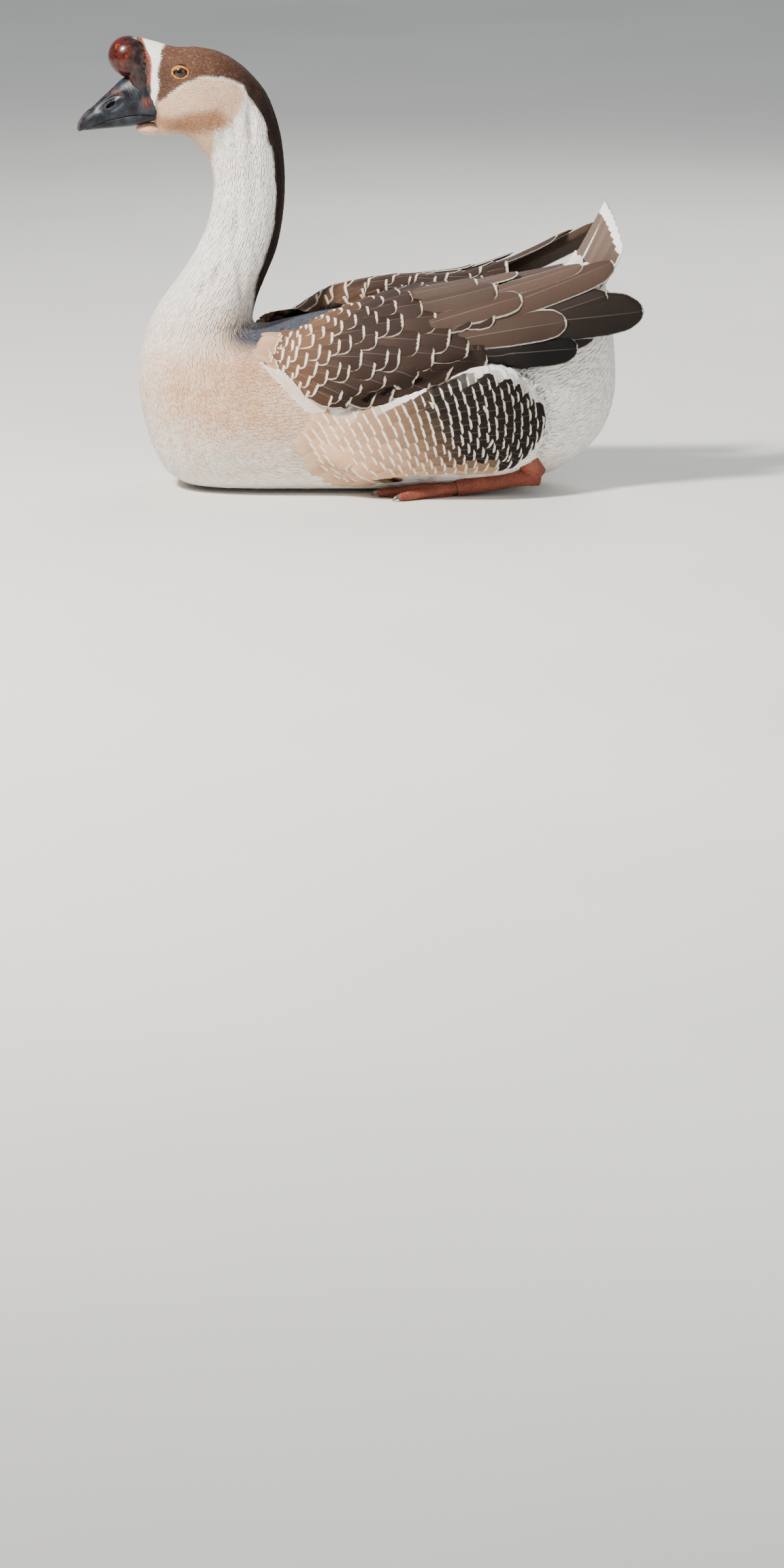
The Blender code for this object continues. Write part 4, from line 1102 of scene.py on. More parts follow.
for side_name, side in SIDES.items():
    xs, vs = np.linspace(-150, 380, 250), np.linspace(-0.3, 1.36, 90)
    guide = guide_piece(f"wing_guide_{side_name}", wing_point(side, xs[:, None], vs[None, :]))

    def on_wing(x, v, side=side):
        return wing_point(side, x, v)

    bed = FeatherBed(f"wing_coverts_{side_name}", guide, on_wing, wing_finish, "covert")
    long_bed = FeatherBed(f"wing_flights_{side_name}", guide, on_wing, flight_finish, "flight")
    for row, (tip_x, count, length, width) in enumerate(COVERT_ROWS):
        arc = wing_arc(side, tip_x)
        for k in range(count + 2):
            share = (k + (0.2 if row % 2 else 0.6)) / count + bed.chance.uniform(-0.02, 0.02)
            if share > (0.8 if side > 0 and tip_x < -66 else 1.3):
                continue
            heading = math.radians(-24 + 34 * min(share, 1) + bed.chance.uniform(-4, 4))
            x = tip_x + bed.chance.uniform(-2.5, 2.5)
            root = (x - length * math.cos(heading), share - length * math.sin(heading) / arc)
            darkness = float(rise(tip_x + 30 * (0.6 - share) + 20 * (side > 0), -60, 10))
            bed.add((x, share), root, length * bed.chance.uniform(0.96, 1.04), width, lift=length * 0.052,
                    base=0.0, roll=-0.05, dark=darkness, fringe_mm=2.0 + 1.0 * (1 - darkness),
                    tip_mm=2.1 + 1.2 * (1 - darkness), pale_root=0.25)
    for tip_x, height, heading, length, width, lift, base, darkness, fringe in FLIGHTS:
        if side > 0 and tip_x > 290 and height < 260:
            tip_x, height = tip_x - 24, height - 22
        v = wing_share(tip_x, height)
        x = tip_x - WING_SLANT * (v - 0.5)
        turn = math.radians(heading)
        root = (x - length * math.cos(turn), v - length * math.sin(turn) / wing_arc(side, x - length / 2))
        long_bed.add((x, v), root, length, width, lift=lift, base=base, dark=darkness, fringe_mm=fringe,
                     tip_mm=fringe + 0.4, pale_root=0.1)
    cape = FeatherBed(f"shoulder_feathers_{side_name}", guide, on_wing, flank_finish, "covert")
    for row, tip_x in enumerate((-96, -89, -82, -75)):
        for share in np.arange(-0.02 + 0.03 * (row % 2), 0.76, 0.06):
            heading = math.radians(-30 + 26 * share + cape.chance.uniform(-5, 5))
            x = tip_x + cape.chance.uniform(-3, 3)
            root = (x - CAPE_LENGTH * math.cos(heading),
                    share - CAPE_LENGTH * math.sin(heading) / CAPE_ARC)
            cape.add((x, share), root, CAPE_LENGTH, CAPE_WIDTH, lift=1.6, base=1.2 - 0.4 * row,
                     roll=0.04, dark=0.26, fringe_mm=0.8, tip_mm=1.6, pale_root=0.2)
    cape.lay("body_feathers", sink=1.4)
    wings[side_name] = (bed.lay("wing_feathers", sink=0.6),
                        long_bed.lay("wing_feathers", sink=1.0, camber=0.13))
    bpy.data.objects.remove(guide)

# %% The folded arm under the feathers
ARM_START, ARM_END, ARM_ROWS, ARM_AROUND = -70, 150, 60, 30
core_finish = Finish("wing_down", Roughness=0.9)
core_finish.feed("Base Color", core_finish.mix(rgb(46, 37, 33), rgb(92, 78, 70),
                                               core_finish.noise(core_finish.place(), 300.0).ramp(0.4, 0.7)))
core_finish.bump(core_finish.noise(core_finish.place(), 500.0, 4.0), 0.0006, 0.8)


def seam_maps(faces, across, up):
    """Map positions for faces round a tube, whose last column runs on to 1 and not back to 0."""
    maps = []
    for face in faces:
        us, vs = [across(v) for v in face], [up(v) for v in face]
        for both in (us, vs):
            if max(both) - min(both) > 0.5:
                both[:] = [1.0 if p < 0.5 else p for p in both]
        maps += list(zip(us, vs))
    return maps


def arm_piece(side_name, side):
    rows = []
    for x in np.linspace(ARM_START, ARM_END, ARM_ROWS):
        thin = np.clip((x - 90) / (ARM_END - 90), 0, 1)
        shares = np.linspace(0.02, 0.98, ARM_AROUND)
        outer = wing_point(side, x, shares, -1.6 - 4.0 * thin)
        inner = wing_point(side, x, shares[::-1], -1.6 - 4.0 * thin) * (1, 0.72 + 0.21 * thin, 1)
        inner[:, 2] -= 20 - 14 * thin
        rows.append(np.concatenate([outer, inner]))
    grid = np.array(rows)
    ends = np.stack([grid[0].mean(axis=0), grid[-1].mean(axis=0)])
    around = grid.shape[1]
    faces = ring_faces(len(grid), around)
    maps = seam_maps(faces, lambda v: (v % around) / around,
                     lambda v: min(v // around, ARM_ROWS - 1) / ARM_ROWS)
    piece = mesh_piece(f"wing_arm_{side_name}", np.concatenate([grid.reshape(-1, 3), ends]), faces,
                       core_finish, {"OFBake": maps})
    return face_outward(piece)


def face_outward(piece):
    """Turns all faces of a closed piece outward."""
    work = bmesh.new()
    work.from_mesh(piece.data)
    bmesh.ops.recalc_face_normals(work, faces=work.faces)
    work.to_mesh(piece.data)
    work.free()
    return piece


for side_name, side in SIDES.items():
    large_pieces.append((arm_piece(side_name, side), "wing_feathers"))
print("wings:", [piece.name for pair in wings.values() for piece in pair])

# %% [markdown]
# ## The flanks
# Long side feathers cover the thigh and lap over the wing's low edge. They lie back and up in front
# and level behind. Each is buff with a cream edge in front, nearly black with a white edge behind,
# and the topmost ones are white, which draws the pale line under the wing.

# %% Flank feathers
def flank_middle(x):
    t = np.interp(x, [row[0] for row in FLANK], range(len(FLANK)))
    return through(FLANK, t)[1:3]


def flank_place(side):
    def place(x, z):
        wide = max(float(flank_out(x, z)), float(torso_width(x, z)))
        return np.array((x, side * wide, z))
    return place


FLANK_PITCH, FLANK_STEP = 10.5, 15.0
trunk_rows = body_surface(np.linspace(TRUNK_FROM, LAST, 140)[:, None],
                          np.linspace(0.05, 3.1, 120)[None, :]).reshape(-1, 3)


def torso_width(x, z):
    near = np.argmin((trunk_rows[:, 0] - x) ** 2 + (trunk_rows[:, 2] - z) ** 2)
    return abs(trunk_rows[near, 1])


for side_name, side in SIDES.items():
    place = flank_place(side)
    bed = FeatherBed(f"flank_vanes_{side_name}", skin, place, flank_finish, "bar")
    for share in np.linspace(0, 1, 18):
        x, z = -88 + 50 * share, 150 - 42 * share
        bed.add((x, z), (x - 24, z + 9 - 12 * share), 26, 11, lift=2.2, base=0.4, roll=0.05, dark=0.0,
                fringe_mm=0.9, tip_mm=2.0, pale_root=0.9, white=0.45)
    for row, row_x in enumerate(np.arange(-50, 236, FLANK_PITCH)):
        middle, half = flank_middle(row_x)
        grown = 0.62 + 0.38 * float(rise(row_x, -50, 40))
        for z in np.arange(8 + 5 * (row % 3), 176, FLANK_STEP * grown):
            q = (z - middle) / half
            ahead = float(rise(row_x, -70, 205))
            low_turn = 16 * ahead * float(rise(-q, 0.1, 0.9))
            heading = math.radians(34 * (1 - ahead) ** 0.8 - low_turn + 10 * q * ahead)
            x = row_x - 0.75 * math.tan(heading) * (z - middle) - 12 * abs(q) ** 3 * ahead
            x, z_tip = x + bed.chance.uniform(-0.8, 0.8), z + bed.chance.uniform(-1.5, 1.5)
            middle, half = flank_middle(x)
            q = (z_tip - middle) / half
            if abs(q) > 1.08 or x > 225 or z_tip < 8:
                continue
            length = (33 + 10 * ahead) * grown
            root = (x - length * math.cos(heading), max(4.0, z_tip - length * math.sin(heading)))
            top = float(rise(q, 0.74, 0.96)) * float(rise(x, -30, 20)) * (x < 200)
            pale_below = 1 - 0.8 * float(rise(50 - z_tip, 0, 26)) * (x < 175)
            darkness = float(rise(x + 30 * q, -20, 120)) * pale_below
            bed.add((x, z_tip), root, length, (44 - 4 * ahead) * grown, lift=length * 0.03, roll=0.01,
                    dark=darkness, fringe_mm=0.7, tip_mm=2.1 + 0.5 * (1 - ahead),
                    pale_root=0.6 - 0.4 * darkness, white=top)
    bed.lay("flank_feathers", sink=0.8)

# %% [markdown]
# ## The tail
# The tail is a narrow fan of stiff feathers, folded like a roof and cocked up between the wing
# tips. Each feather is grey-brown with a very broad white edge and tip, and short white coverts
# close over its root.

# %% Tail fan
TAIL_ROOT, TAIL_PITCH, TAIL_LENGTH = (213, 203), math.radians(58), 143
TAIL_SPREAD, TAIL_VANES = math.radians(15), 16


def tail_point(share, along):
    """The roof-shaped surface of the fan, at share -1..1 across it and along it in millimetres."""
    yaw = TAIL_SPREAD * share
    ahead = np.array((math.cos(TAIL_PITCH) * math.cos(yaw), math.sin(yaw),
                      math.sin(TAIL_PITCH) * math.cos(yaw)))
    up = np.cross(ahead, np.cross((-math.sin(TAIL_PITCH), 0, math.cos(TAIL_PITCH)), ahead))
    drop = 14 * share**2 + 17 * math.hypot(share, 0.12)
    root = np.array((TAIL_ROOT[0], 9.0 * share, TAIL_ROOT[1])) - up * drop
    return root + ahead * along + up * 5 * (along / TAIL_LENGTH) ** 2


tail_grid = np.array([[tail_point(a, l) for a in np.linspace(-1.35, 1.35, 55)]
                      for l in np.linspace(-5, 150, 60)])
tail_guide = guide_piece("tail_guide", tail_grid)
tail_bed = FeatherBed("tail_vanes", tail_guide, tail_point, tail_finish, "flight")
for k in range(TAIL_VANES):
    share = 2 * k / (TAIL_VANES - 1) - 1
    length = TAIL_LENGTH * (1 - 0.14 * share**2)
    tail_bed.add((share, length), (share, 0.0), length, 27, lift=1.0, base=4.5 * (1 - abs(share)),
                 dark=0.35 + 0.5 * abs(share), fringe_mm=3.0, tip_mm=13, pale_root=0.0)
for row, tip in enumerate((46, 62, 78)):
    for k in range(9 - row):
        share = 2 * k / (8 - row) - 1
        tail_bed.add((share, tip * (1 - 0.1 * share**2)), (share, 0.0), tip, 22, lift=2.0,
                     base=8.0 - row * 1.2, white=1.0)
tail_bed.lay("tail_feathers", sink=1.0, camber=0.1)
bpy.data.objects.remove(tail_guide)

# %% [markdown]
# ## The bill
# The bill is horn over bone: a high, straight upper half with a nail at its tip, an oval nostril
# and a lower half tucked into it. Both halves are lofts of sections like the body. Relief is added
# along their own direction: the nail's shield, the nostril's pit and rim, small teeth along the
# cutting edge, and the fine folds of the skin near the face.

# %% Bill halves
UPPER_BILL = [
    # top x, z, bottom x, z, half width
    (-226, 472, -228, 426, 20.5), (-243, 476, -243, 427.0, 20.5), (-257, 474, -254, 426.5, 18.5),
    (-270, 468, -264, 425.0, 16.0), (-280.5, 458, -277, 422.0, 14.5), (-291, 448.5, -288, 419.0, 13.5),
    (-302.5, 437.5, -299, 416, 12.5), (-313, 428, -310, 412.5, 10.5), (-319, 419.5, -317, 409.8, 7.0),
    (-320.6, 413.8, -320.3, 410.3, 3.0),
]
LOWER_BILL = [
    (-228, 428, -230, 422, 17.5), (-243, 429.0, -243, 418.5, 17.5), (-254, 428.5, -254, 415.5, 16.2),
    (-264, 427.0, -264, 414, 14.6), (-277, 424.0, -277, 413, 13.0), (-288, 421.0, -288, 412, 12.0),
    (-299, 418, -299, 411, 10.5), (-310, 413.5, -310, 410, 7.5), (-315, 411.7, -315, 409.8, 4.5),
]
NOSTRIL_AT, NOSTRIL_HALF, NOSTRIL_TILT = (-282.0, 440.0), (6.6, 2.5), math.radians(33)


def section_loft(rows, form, steps, around):
    """Rings through rows of (top, bottom, half width), with a level and two squarenesses."""
    t, turn = np.meshgrid(np.linspace(0, len(rows) - 1, steps), full_turn(around), indexing="ij")
    tx, tz, bx, bz, half = np.moveaxis(through(rows, t), -1, 0)
    level, upper, lower = form
    c, n = np.cos(turn), np.sin(turn)
    reach = np.abs(c) ** (2 / np.where(c > 0, upper, lower))
    along = np.where(c > 0, level * (1 - reach), level + (1 - level) * reach)
    y = -half * np.sign(n) * np.abs(n) ** (2 / np.where(c > 0, upper, lower))
    return np.stack([tx + (bx - tx) * along, y, tz + (bz - tz) * along], axis=-1)


def closed_loft(name, grid, finish, **numbers):
    """A closed piece from rings, with fans at both ends and a simple unwrap."""
    rows, around = grid.shape[:2]
    points = np.concatenate([grid.reshape(-1, 3), [grid[0].mean(axis=0), grid[-1].mean(axis=0)]])
    faces = ring_faces(rows, around)
    maps = []
    for face in faces:
        wraps = max(v % around for v in face if v < rows * around) == around - 1
        for v in face:
            u = (v % around) / around
            maps.append((1.0 if wraps and u == 0 else u, min(v // around, rows) / rows))
    numbers = {key: np.concatenate([v.ravel(), [v[0].mean(), v[-1].mean()]]) for key, v in numbers.items()}
    return face_outward(mesh_piece(name, points, faces, finish, {"OFBake": maps}, **numbers))


def out_of(grid):
    """Outward directions of a ring grid, whichever way it was wound."""
    out = outward(grid)
    middle = grid.mean(axis=1, keepdims=True)
    return out if ((grid - middle) * out).sum() > 0 else -out


def nostril_distance(grid):
    x, z = grid[..., 0] - NOSTRIL_AT[0], grid[..., 2] - NOSTRIL_AT[1]
    c, s = math.cos(NOSTRIL_TILT), math.sin(NOSTRIL_TILT)
    return np.hypot((x * c + z * s) / NOSTRIL_HALF[0], (z * c - x * s) / NOSTRIL_HALF[1])


upper = section_loft(UPPER_BILL, (0.72, 2.0, 4.0), 260, 150)
x, y, z = np.moveaxis(upper, -1, 0)
nostril = nostril_distance(upper)
pit = -4.2 * (1 - rise(nostril, 0.55, 1.0)) + 0.7 * np.exp(-((nostril - 1.25) / 0.25) ** 2)
nail = 0.6 * rise(-x, 305.5, 307) * (1 - rise(np.abs(y), 5.2, 6.4))
shelf = -0.9 * np.exp(-((nostril - 2.6) / 0.7) ** 2) * rise(z, 430, 436)
near_face = rise(x, -268, -246)
upper_points = upper.reshape(-1, 3)
ripple = (5.0 * waver(upper_points, 7.0, 21) + waver(upper_points, 2.2, 22)).reshape(x.shape)
fold = np.sin(x * 1.7 + 0.9 * z + ripple) * near_face
edge_low = through(UPPER_BILL, np.linspace(0, 9, 260))[:, 3][:, None]
teeth = 0.35 * np.cos(x * 4.6) * np.exp(-((z - edge_low - 1.4) / 1.2) ** 2)
teeth = teeth * (np.abs(y) > 5) * (1 - near_face)
upper = upper + out_of(upper) * (pit * (np.abs(y) > 6) + nail + shelf + 0.2 * fold + teeth)[..., None]
lower = section_loft(LOWER_BILL, (0.12, 4.0, 2.2), 160, 90)

bill_finish = Finish("bill_horn", Roughness=0.34, Specular_IOR_Level=0.22)
at = bill_finish.place()
cloud = bill_finish.noise(at, 70.0, 4.0)
grit = bill_finish.noise(at, 900.0, 3.0)
horn = bill_finish.mix(rgb(22, 22, 27), rgb(50, 54, 62), cloud.ramp(0.35, 0.75))
horn = bill_finish.mix(horn, rgb(120, 106, 92), bill_finish.read("nail") * (cloud * 0.5 + 0.1))
horn = bill_finish.mix(horn, rgb(112, 62, 40), bill_finish.read("warm_skin") * cloud.ramp(0.45, 0.6) * 0.8)
# The nostril's pit is painted near black: painted shade inside it.
horn = bill_finish.mix(horn, rgb(30, 18, 16), bill_finish.read("pit"))
bill_finish.feed("Base Color", bill_finish.darker(horn, grit * 0.3 + 0.85))
bill_finish.feed("Roughness", cloud * 0.25 + 0.24)
bill_finish.bump(grit * 0.6 + cloud * 0.4, 0.00025, 0.6)

lx = lower[..., 0]
bill = [
    closed_loft("bill_upper_horn", upper, bill_finish, pit=1 - rise(nostril, 0.6, 0.95),
                nail=0.8 * rise(-x, 306, 318) * (1 - rise(np.abs(y), 5, 8)),
                warm_skin=np.exp(-((x + 277) / 9) ** 2 - ((z - 452) / 5) ** 2) * 0.7
                + np.exp(-((x + 240) / 5) ** 2 - ((z - 444) / 6) ** 2)),
    closed_loft("bill_lower_horn", lower, bill_finish, pit=0 * lx,
                nail=0.6 * rise(-lx, 306, 315), warm_skin=0 * lx)]
print("bill:", [len(piece.data.polygons) for piece in bill])

# %% [markdown]
# ## The knob
# The knob on the forehead is a bulb of horny skin, glossy and red-brown in front, dark behind, and
# it runs down to the bill's root in a wrinkled skirt. It is one round form: in every direction from
# a middle point its surface lies at the farthest of three overlapping eggs, with the creases
# between them filled in softly.

# %% Knob
KNOB_EGGS = [((-261.5, 493.8), (23.3, 22.0, 23.8)), ((-249, 487), (14.5, 21.5, 27.0)),
             ((-246.0, 470), (16.0, 20.6, 22.0))]
KNOB_MIDDLE = np.array((-250.5, 0.0, 486.0))


def egg_reach(ways, centre, halves):
    """How far from the knob's middle each way leaves an egg."""
    start = (KNOB_MIDDLE - (centre[0], 0.0, centre[1])) / halves
    step = ways / halves
    a, b, c = (step**2).sum(-1), (step * start).sum(-1), (start**2).sum() - 1
    return (-b + np.sqrt(np.maximum(b * b - a * c, 0.0))) / a * (b * b - a * c > 0)


pole, round_it = np.meshgrid(np.linspace(0, math.pi, 122)[1:-1], full_turn(160), indexing="ij")
ways = np.stack([np.sin(pole) * np.cos(round_it), np.cos(pole), np.sin(pole) * np.sin(round_it)], axis=-1)
reaches = [egg_reach(ways, *egg) for egg in KNOB_EGGS]
reach = smooth_max(smooth_max(reaches[0], reaches[1], 2.0), reaches[2], 3.0)
knob_grid = KNOB_MIDDLE + ways * reach[..., None]
x, y, z = np.moveaxis(knob_grid, -1, 0)
skirt = np.clip(rise(x, -262, -246) * (1 - rise(z, 474, 492)), 0, 1)
crease = np.sin(x * 1.5 + z * 0.9 + 5.0 * waver(knob_grid.reshape(-1, 3), 7.0, 8).reshape(x.shape))
dent = 0.5 * waver(knob_grid.reshape(-1, 3), 9.0, 9).reshape(x.shape)
knob_grid = knob_grid + ways * (0.25 * crease * skirt + dent)[..., None]

knob_finish = Finish("knob_skin", Roughness=0.28, Coat_Weight=0.25, Coat_Roughness=0.12,
                     Specular_IOR_Level=0.25)
at = knob_finish.place()
cloud = knob_finish.noise(at, 85.0, 4.0)
spots = knob_finish.noise(at, 260.0, 3.0)
front = knob_finish.read("front")
ember = knob_finish.mix(rgb(70, 22, 14), rgb(150, 60, 20), cloud.ramp(0.52, 0.76))
ember = knob_finish.mix(ember, rgb(30, 12, 10), spots.ramp(0.46, 0.62) * 0.85)
slate = knob_finish.mix(rgb(24, 18, 18), rgb(56, 44, 42), cloud.ramp(0.4, 0.75))
tint = knob_finish.mix(slate, ember, front * 0.9)
tint = knob_finish.mix(tint, rgb(170, 84, 40), knob_finish.read("crown_edge") * spots.ramp(0.42, 0.6))
knob_finish.feed("Base Color", tint)
knob_finish.feed("Roughness", knob_finish.read("skirt") * 0.2 + cloud * 0.15 + 0.2)
knob_finish.bump(knob_finish.noise(at, 1100.0, 3.0), 0.00012, 0.6)
front_share = rise(-x, 247, 268) * (1 - 0.75 * rise(z, 500, 515) * rise(x, -268, -255))
knob_piece = closed_loft("knob_bulb", knob_grid, knob_finish, front=front_share, skirt=skirt,
                         crown_edge=rise(x, -246, -238) * rise(z, 470, 490))
print("knob:", len(knob_piece.data.polygons))

# %% [markdown]
# ## The eyes, lids and chin
# The eye is a glass ball set as deep as a real one, dark brown round a black pupil, in an
# amber rim that is thicker above. Under the chin hangs a small fold of pink skin.

# %% Eyes, lids and chin
EYE_RADIUS, EYE_DEPTH, LID_HALF = 9.4, 5.6, (9.0, 6.3)
face_spots = form[:110, 20:70].reshape(-1, 3)
nearest_eye = np.argmin(np.hypot(face_spots[:, 0] - EYE_AT[0], face_spots[:, 2] - EYE_AT[1]))
face_half = abs(face_spots[nearest_eye, 1])

eye_finish = Finish("eye_glass", Roughness=0.2, Coat_Weight=0.7, Coat_Roughness=0.02, Specular_IOR_Level=0.2)
at = eye_finish.node("ShaderNodeVectorMath", {"operation": "SUBTRACT"},
                     {0: eye_finish.place(), 1: (EYE_AT[0] * MM, 0, EYE_AT[1] * MM)})
flat = eye_finish.node("ShaderNodeVectorMath", {"operation": "MULTIPLY"}, {0: at, 1: (1, 0, 1)})
radius = eye_finish.node("ShaderNodeVectorMath", {"operation": "LENGTH"}, {0: flat}, out="Value") * 1000.0
fibre = eye_finish.noise(flat, 900.0, 2.0)
iris = eye_finish.mix(rgb(44, 20, 10), rgb(78, 38, 18), fibre.ramp(0.35, 0.7) * radius.ramp(2.5, 5.5))
iris = eye_finish.mix(iris, rgb(22, 12, 10), radius.ramp(5.6, 6.6))
eye_finish.feed("Base Color", eye_finish.mix(rgb(6, 5, 5), iris, radius.ramp(3.1, 3.6)))

lid_finish = Finish("lid_rim", Roughness=0.5)
at = lid_finish.place()
lid_tint = lid_finish.mix(rgb(196, 130, 52), rgb(84, 48, 28), lid_finish.noise(at, 600.0).ramp(0.45, 0.62))
lid_finish.feed("Base Color", lid_tint)
lid_finish.bump(lid_finish.noise(at, 1400.0), 0.00015, 0.7)


def ball_grid(centre, halves, rows=40, around=64):
    a, b = np.meshgrid(np.linspace(0, math.pi, rows + 2)[1:-1], full_turn(around), indexing="ij")
    unit = np.stack([np.sin(a) * np.cos(b), np.cos(a), np.sin(a) * np.sin(b)], axis=-1)
    return np.array(centre) + unit * halves


def lid_piece(name, side):
    """A soft rim round an eye, thicker above, leaning out with the brow."""
    turn, spin = np.meshgrid(full_turn(72), full_turn(20), indexing="ij")
    thick = 1.1 + 1.2 * np.exp(-((turn - 2.1) / 0.8) ** 2) + 0.5 * np.exp(-((turn - 4.6) / 0.8) ** 2)
    out = np.stack([np.cos(turn), 0 * turn, np.sin(turn)], axis=-1)
    at = np.array((EYE_AT[0], side * (face_half + 0.5), EYE_AT[1])) + out * (LID_HALF[0], 0, LID_HALF[1])
    at[..., 1] += side * 0.5 * np.sin(turn)
    lean = np.cos(spin)[..., None] * out + np.sin(spin)[..., None] * np.array((0, side, 0))
    ring = at + thick[..., None] * lean
    rows, around = ring.shape[:2]
    a, b = np.meshgrid(np.arange(rows), np.arange(around), indexing="ij")
    low, high = a * around, (a + 1) % rows * around
    beside = (b + 1) % around
    faces = np.stack([low + b, low + beside, high + beside, high + b], axis=-1).reshape(-1, 4)
    maps = seam_maps(faces, lambda v: (v // around) / rows, lambda v: (v % around) / around)
    return face_outward(mesh_piece(name, ring.reshape(-1, 3), faces.tolist(), lid_finish, {"OFBake": maps}))


chin_finish = Finish("chin_skin", Roughness=0.55)
at = chin_finish.place()
chin_finish.feed("Base Color", chin_finish.mix(rgb(206, 164, 138), rgb(178, 132, 108),
                                               chin_finish.noise(at, 300.0).ramp(0.4, 0.7)))
chin_finish.bump(chin_finish.noise(at, 600.0, 4.0), 0.0004, 0.8)
CHIN_AT, CHIN_HALF = (-237, 0, 412.0), (17, 9.5, 7.6)
chin_grid = ball_grid(CHIN_AT, CHIN_HALF)
lumps = waver(chin_grid.reshape(-1, 3), 3.0, 4).reshape(*chin_grid.shape[:2], 1)
chin_grid += (chin_grid - CHIN_AT) * 0.07 * lumps
head_pieces = [closed_loft("chin_fold", chin_grid, chin_finish)]
eyes = {}
for side_name, side in SIDES.items():
    centre = (EYE_AT[0], side * (face_half - EYE_DEPTH), EYE_AT[1])
    eyes[side_name] = closed_loft(f"eye_ball_{side_name}", ball_grid(centre, EYE_RADIUS), eye_finish)
    head_pieces.append(lid_piece(f"lid_{side_name}", side))
print("eyes at", [round(v, 1) for v in centre], "pieces:", [piece.name for piece in head_pieces])

# %% [markdown]
# ## Legs and feet
# The sitting goose folds its shanks flat beside the belly. The legs are red-orange and scaly, with
# three webbed toes in front, a small one behind, and dark blunt claws. Tubes along the bones carry
# ring-shaped scutes on top, and a net of small scales everywhere else is bump.

# %% Legs, toes and webs
HOCK, ANKLE, KNEE_WARDS = (203, 66, 22), (112, 76, 9), (184, 76, 56)
TOE_TIPS = {"inner": (40, 54, 4.2), "middle": (22, 82, 4.6), "outer": (46, 109, 4.2)}
HIND_TOE = (132, 62, 5.5)

leg_finish = Finish("leg_skin", Roughness=0.55)
at = leg_finish.place()
cells = leg_finish.node("ShaderNodeTexVoronoi", {"feature": "DISTANCE_TO_EDGE"},
                        {"Vector": at, "Scale": 420.0})
net = cells.ramp(0.02, 0.2)
cloud = leg_finish.noise(at, 40.0, 3.0)
leg_tint = leg_finish.mix(rgb(122, 56, 38), rgb(156, 82, 56), cloud.ramp(0.35, 0.7))
leg_tint = leg_finish.mix(rgb(84, 40, 30), leg_tint, net * 0.6 + 0.4)
leg_finish.feed("Base Color", leg_tint)
leg_finish.bump(net, 0.0005, 0.8)
claw_finish = Finish("claw_horn", Roughness=0.4)
claw_finish.feed("Base Color", claw_finish.mix(rgb(60, 50, 46), rgb(128, 108, 92),
                                               claw_finish.noise(claw_finish.place(), 200.0).ramp(0.35, 0.7)))


def tube_grid(path, radii, steps, around, scutes=0.0, pitch=4.0):
    """Rings along a smooth path, with ring-shaped scutes on the upper side."""
    t = np.linspace(0, len(path) - 1, steps)
    line = through(path, t)
    wide = np.interp(t, np.linspace(0, len(path) - 1, len(radii)), radii)
    ahead = np.gradient(line, axis=0)
    ahead /= np.linalg.norm(ahead, axis=1, keepdims=True)
    side_way = np.cross(ahead, (0, 0, 1.0))
    side_way /= np.linalg.norm(side_way, axis=1, keepdims=True)
    up_way = np.cross(side_way, ahead)
    spin = full_turn(around)
    run = np.concatenate([[0], np.cumsum(np.linalg.norm(np.diff(line, axis=0), axis=1))])
    plate = scutes * np.abs(np.sin(run * math.pi / pitch))[:, None] ** 0.6
    plate = plate * rise(np.sin(spin), 0.1, 0.6)[None, :]
    grow = (wide[:, None] + plate)[..., None]
    grid = line[:, None] + grow * (np.cos(spin)[None, :, None] * side_way[:, None]
                                   + np.sin(spin)[None, :, None] * up_way[:, None])
    grid[..., 2] = np.maximum(grid[..., 2], 0.3)
    return grid


def rounded_tube(name, path, radii, finish, steps=90, around=28, scutes=0.0, pitch=4.0):
    """A tube whose radii run down to nearly nothing at both ends, so that its ends are round."""
    grid = tube_grid(path, radii, steps, around, scutes, pitch)
    for row in range(6):
        share = math.sqrt(1 - (1 - (row + 0.5) / 6) ** 2)
        for index in (row, steps - 1 - row):
            middle = grid[index].mean(axis=0)
            grid[index] = middle + (grid[index] - middle) * share
    return closed_loft(name, grid, finish)


def web_piece(name, ankle, one, other):
    """The skin between two toes: a thin sheet with a hollow front edge."""
    a, l = np.meshgrid(np.linspace(0, 1, 24), np.linspace(0.05, 1, 40), indexing="xy")
    reach = 0.96 - 0.16 * np.sin(a * math.pi)
    edge = (one * (1 - a)[..., None] + other * a[..., None])
    top = ankle + (edge - ankle) * (l * reach)[..., None]
    sag = np.sin(a * math.pi) * l
    top[..., 2] = 5.2 - 2.2 * sag + 0.5 * np.sin(a * 34) * sag
    low = top * (1, 1, 0) + (0, 0, 0.4)
    rings = np.concatenate([top, low[:, ::-1]], axis=1)
    return closed_loft(name, rings, leg_finish)


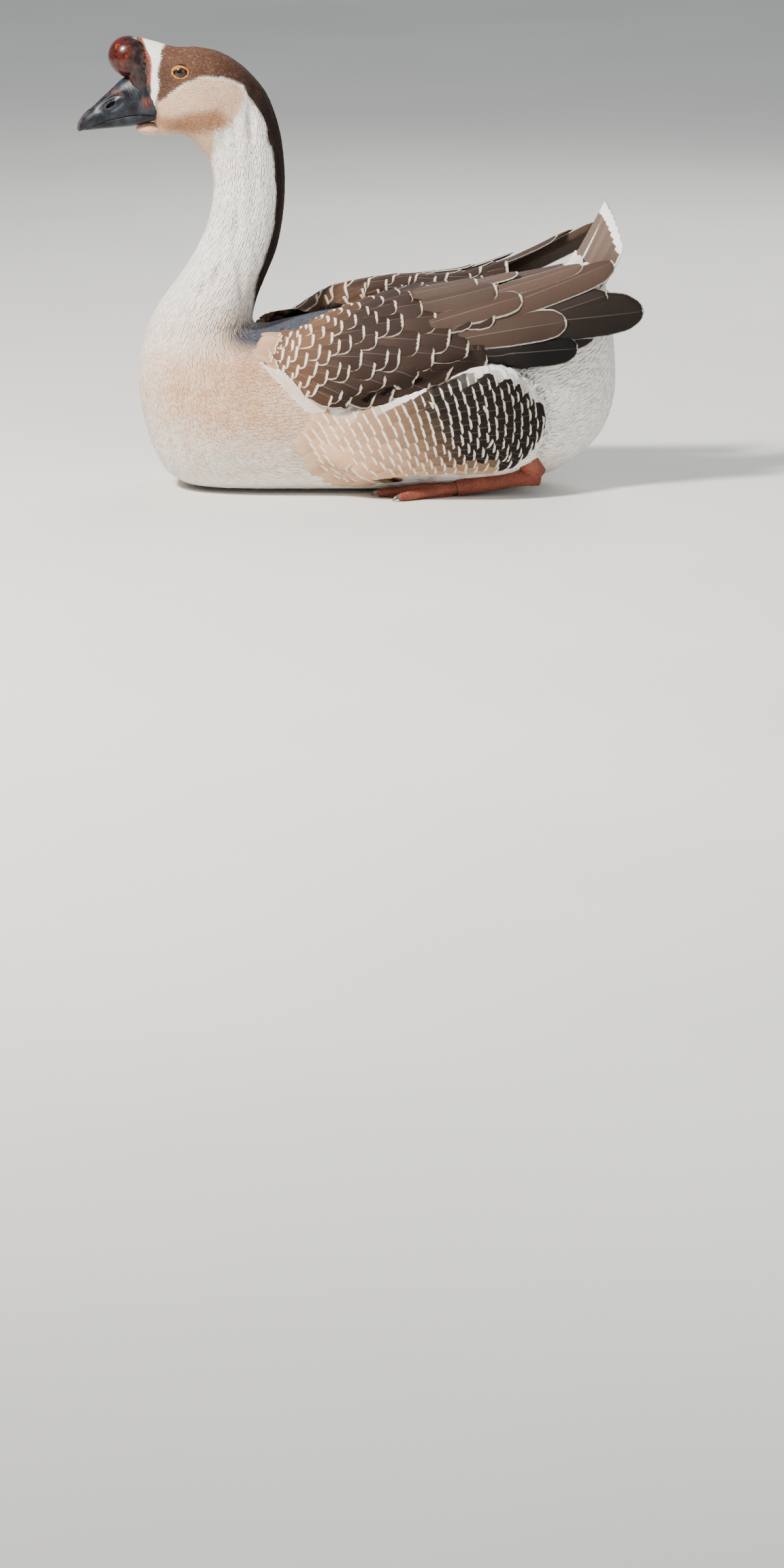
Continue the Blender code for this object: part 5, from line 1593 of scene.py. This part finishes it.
legs = {}
for side_name, side in SIDES.items():
    way = np.array((1, side, 1.0))
    hock, ankle, knee = (np.array(p) * way for p in (HOCK, ANKLE, KNEE_WARDS))
    tips = [np.array(p) * way for p in TOE_TIPS.values()]
    shank = [hock + (6, 0, -3), hock * 0.9 + ankle * 0.1, hock * 0.55 + ankle * 0.45,
             ankle * 0.9 + hock * 0.1, ankle]
    thigh = [hock + (2, 0, 0), (hock + knee) / 2, knee]
    legs[f"leg_{side_name}"] = [
        rounded_tube(f"shank_{side_name}", shank, (8.5, 10.5, 9.0, 8.6, 9.0, 8.0), leg_finish,
                     150, 40, 0.7, 5.0),
        rounded_tube(f"thigh_{side_name}", thigh, (12, 12.5, 14), leg_finish)]
    foot = []
    for toe, tip in zip(TOE_TIPS, tips):
        ahead = (tip - ankle) / np.linalg.norm(tip - ankle)
        path = [ankle, ankle + (tip - ankle) * 0.35 + (0, 0, 1.2),
                ankle + (tip - ankle) * 0.7 + (0, 0, 0.6), tip]
        foot.append(rounded_tube(f"toe_{toe}_{side_name}", path, (7.0, 5.2, 5.8, 4.6, 5.2, 4.2), leg_finish,
                                 110, 26, 0.5, 3.6))
        claw = [tip - ahead * 3 + (0, 0, 1), tip + ahead * 3 + (0, 0, 0.8), tip + ahead * 8.0 - (0, 0, 2.0)]
        foot.append(rounded_tube(f"claw_{toe}_{side_name}", claw, (3.0, 2.5, 0.9), claw_finish, 30, 18))
    for k in (0, 1):
        foot.append(web_piece(f"web_{k}_{side_name}", ankle, tips[k], tips[k + 1]))
    hind = np.array(HIND_TOE) * way
    back = [ankle + (6, 0, 0), (ankle + hind) / 2 + (3, 0, 0), hind]
    foot.append(rounded_tube(f"toe_hind_{side_name}", back, (5.4, 4.4, 3.0), leg_finish,
                             40, 20, 0.3, 3.0))
    legs[f"foot_{side_name}"] = foot
print("leg pieces:", sum(len(pieces) for pieces in legs.values()))

# %% [markdown]
# ## Riding and replacing
# Every piece rides on the goose's one body. Pieces that stand for solids say so, which hides those
# solids here while the physics keeps them.

# %% Dress the frame
def dress(piece, slot_name, *nodes):
    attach(piece, "root")
    if nodes:
        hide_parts(*nodes)


dress(skin, "body_feathers", "head", "neck", "torso", "flank_left", "flank_right")
for coat, slot_name in zip(coats, ("crown_feathers", *["neck_feathers"] * 2, *["body_feathers"] * 3)):
    dress(coat, slot_name)
arms_and_tail = {"wing_arm_left": "wing_left", "wing_arm_right": "wing_right", "tail_vanes": "tail"}
for piece, slot_name in large_pieces:
    dress(piece, slot_name, *[arms_and_tail[piece.name]] if piece.name in arms_and_tail else [])
for piece, node in zip(bill, ("bill_upper", "bill_lower")):
    dress(piece, "bill_horn", node)
dress(knob_piece, "knob_skin", "knob")
for piece in head_pieces:
    dress(piece, "crown_feathers")
for side_name, ball in eyes.items():
    dress(ball, "eye", f"eye_{side_name}")
for node, pieces in legs.items():
    dress(pieces[0], "leg_skin", node)
    for piece in pieces[1:]:
        dress(piece, "leg_skin")
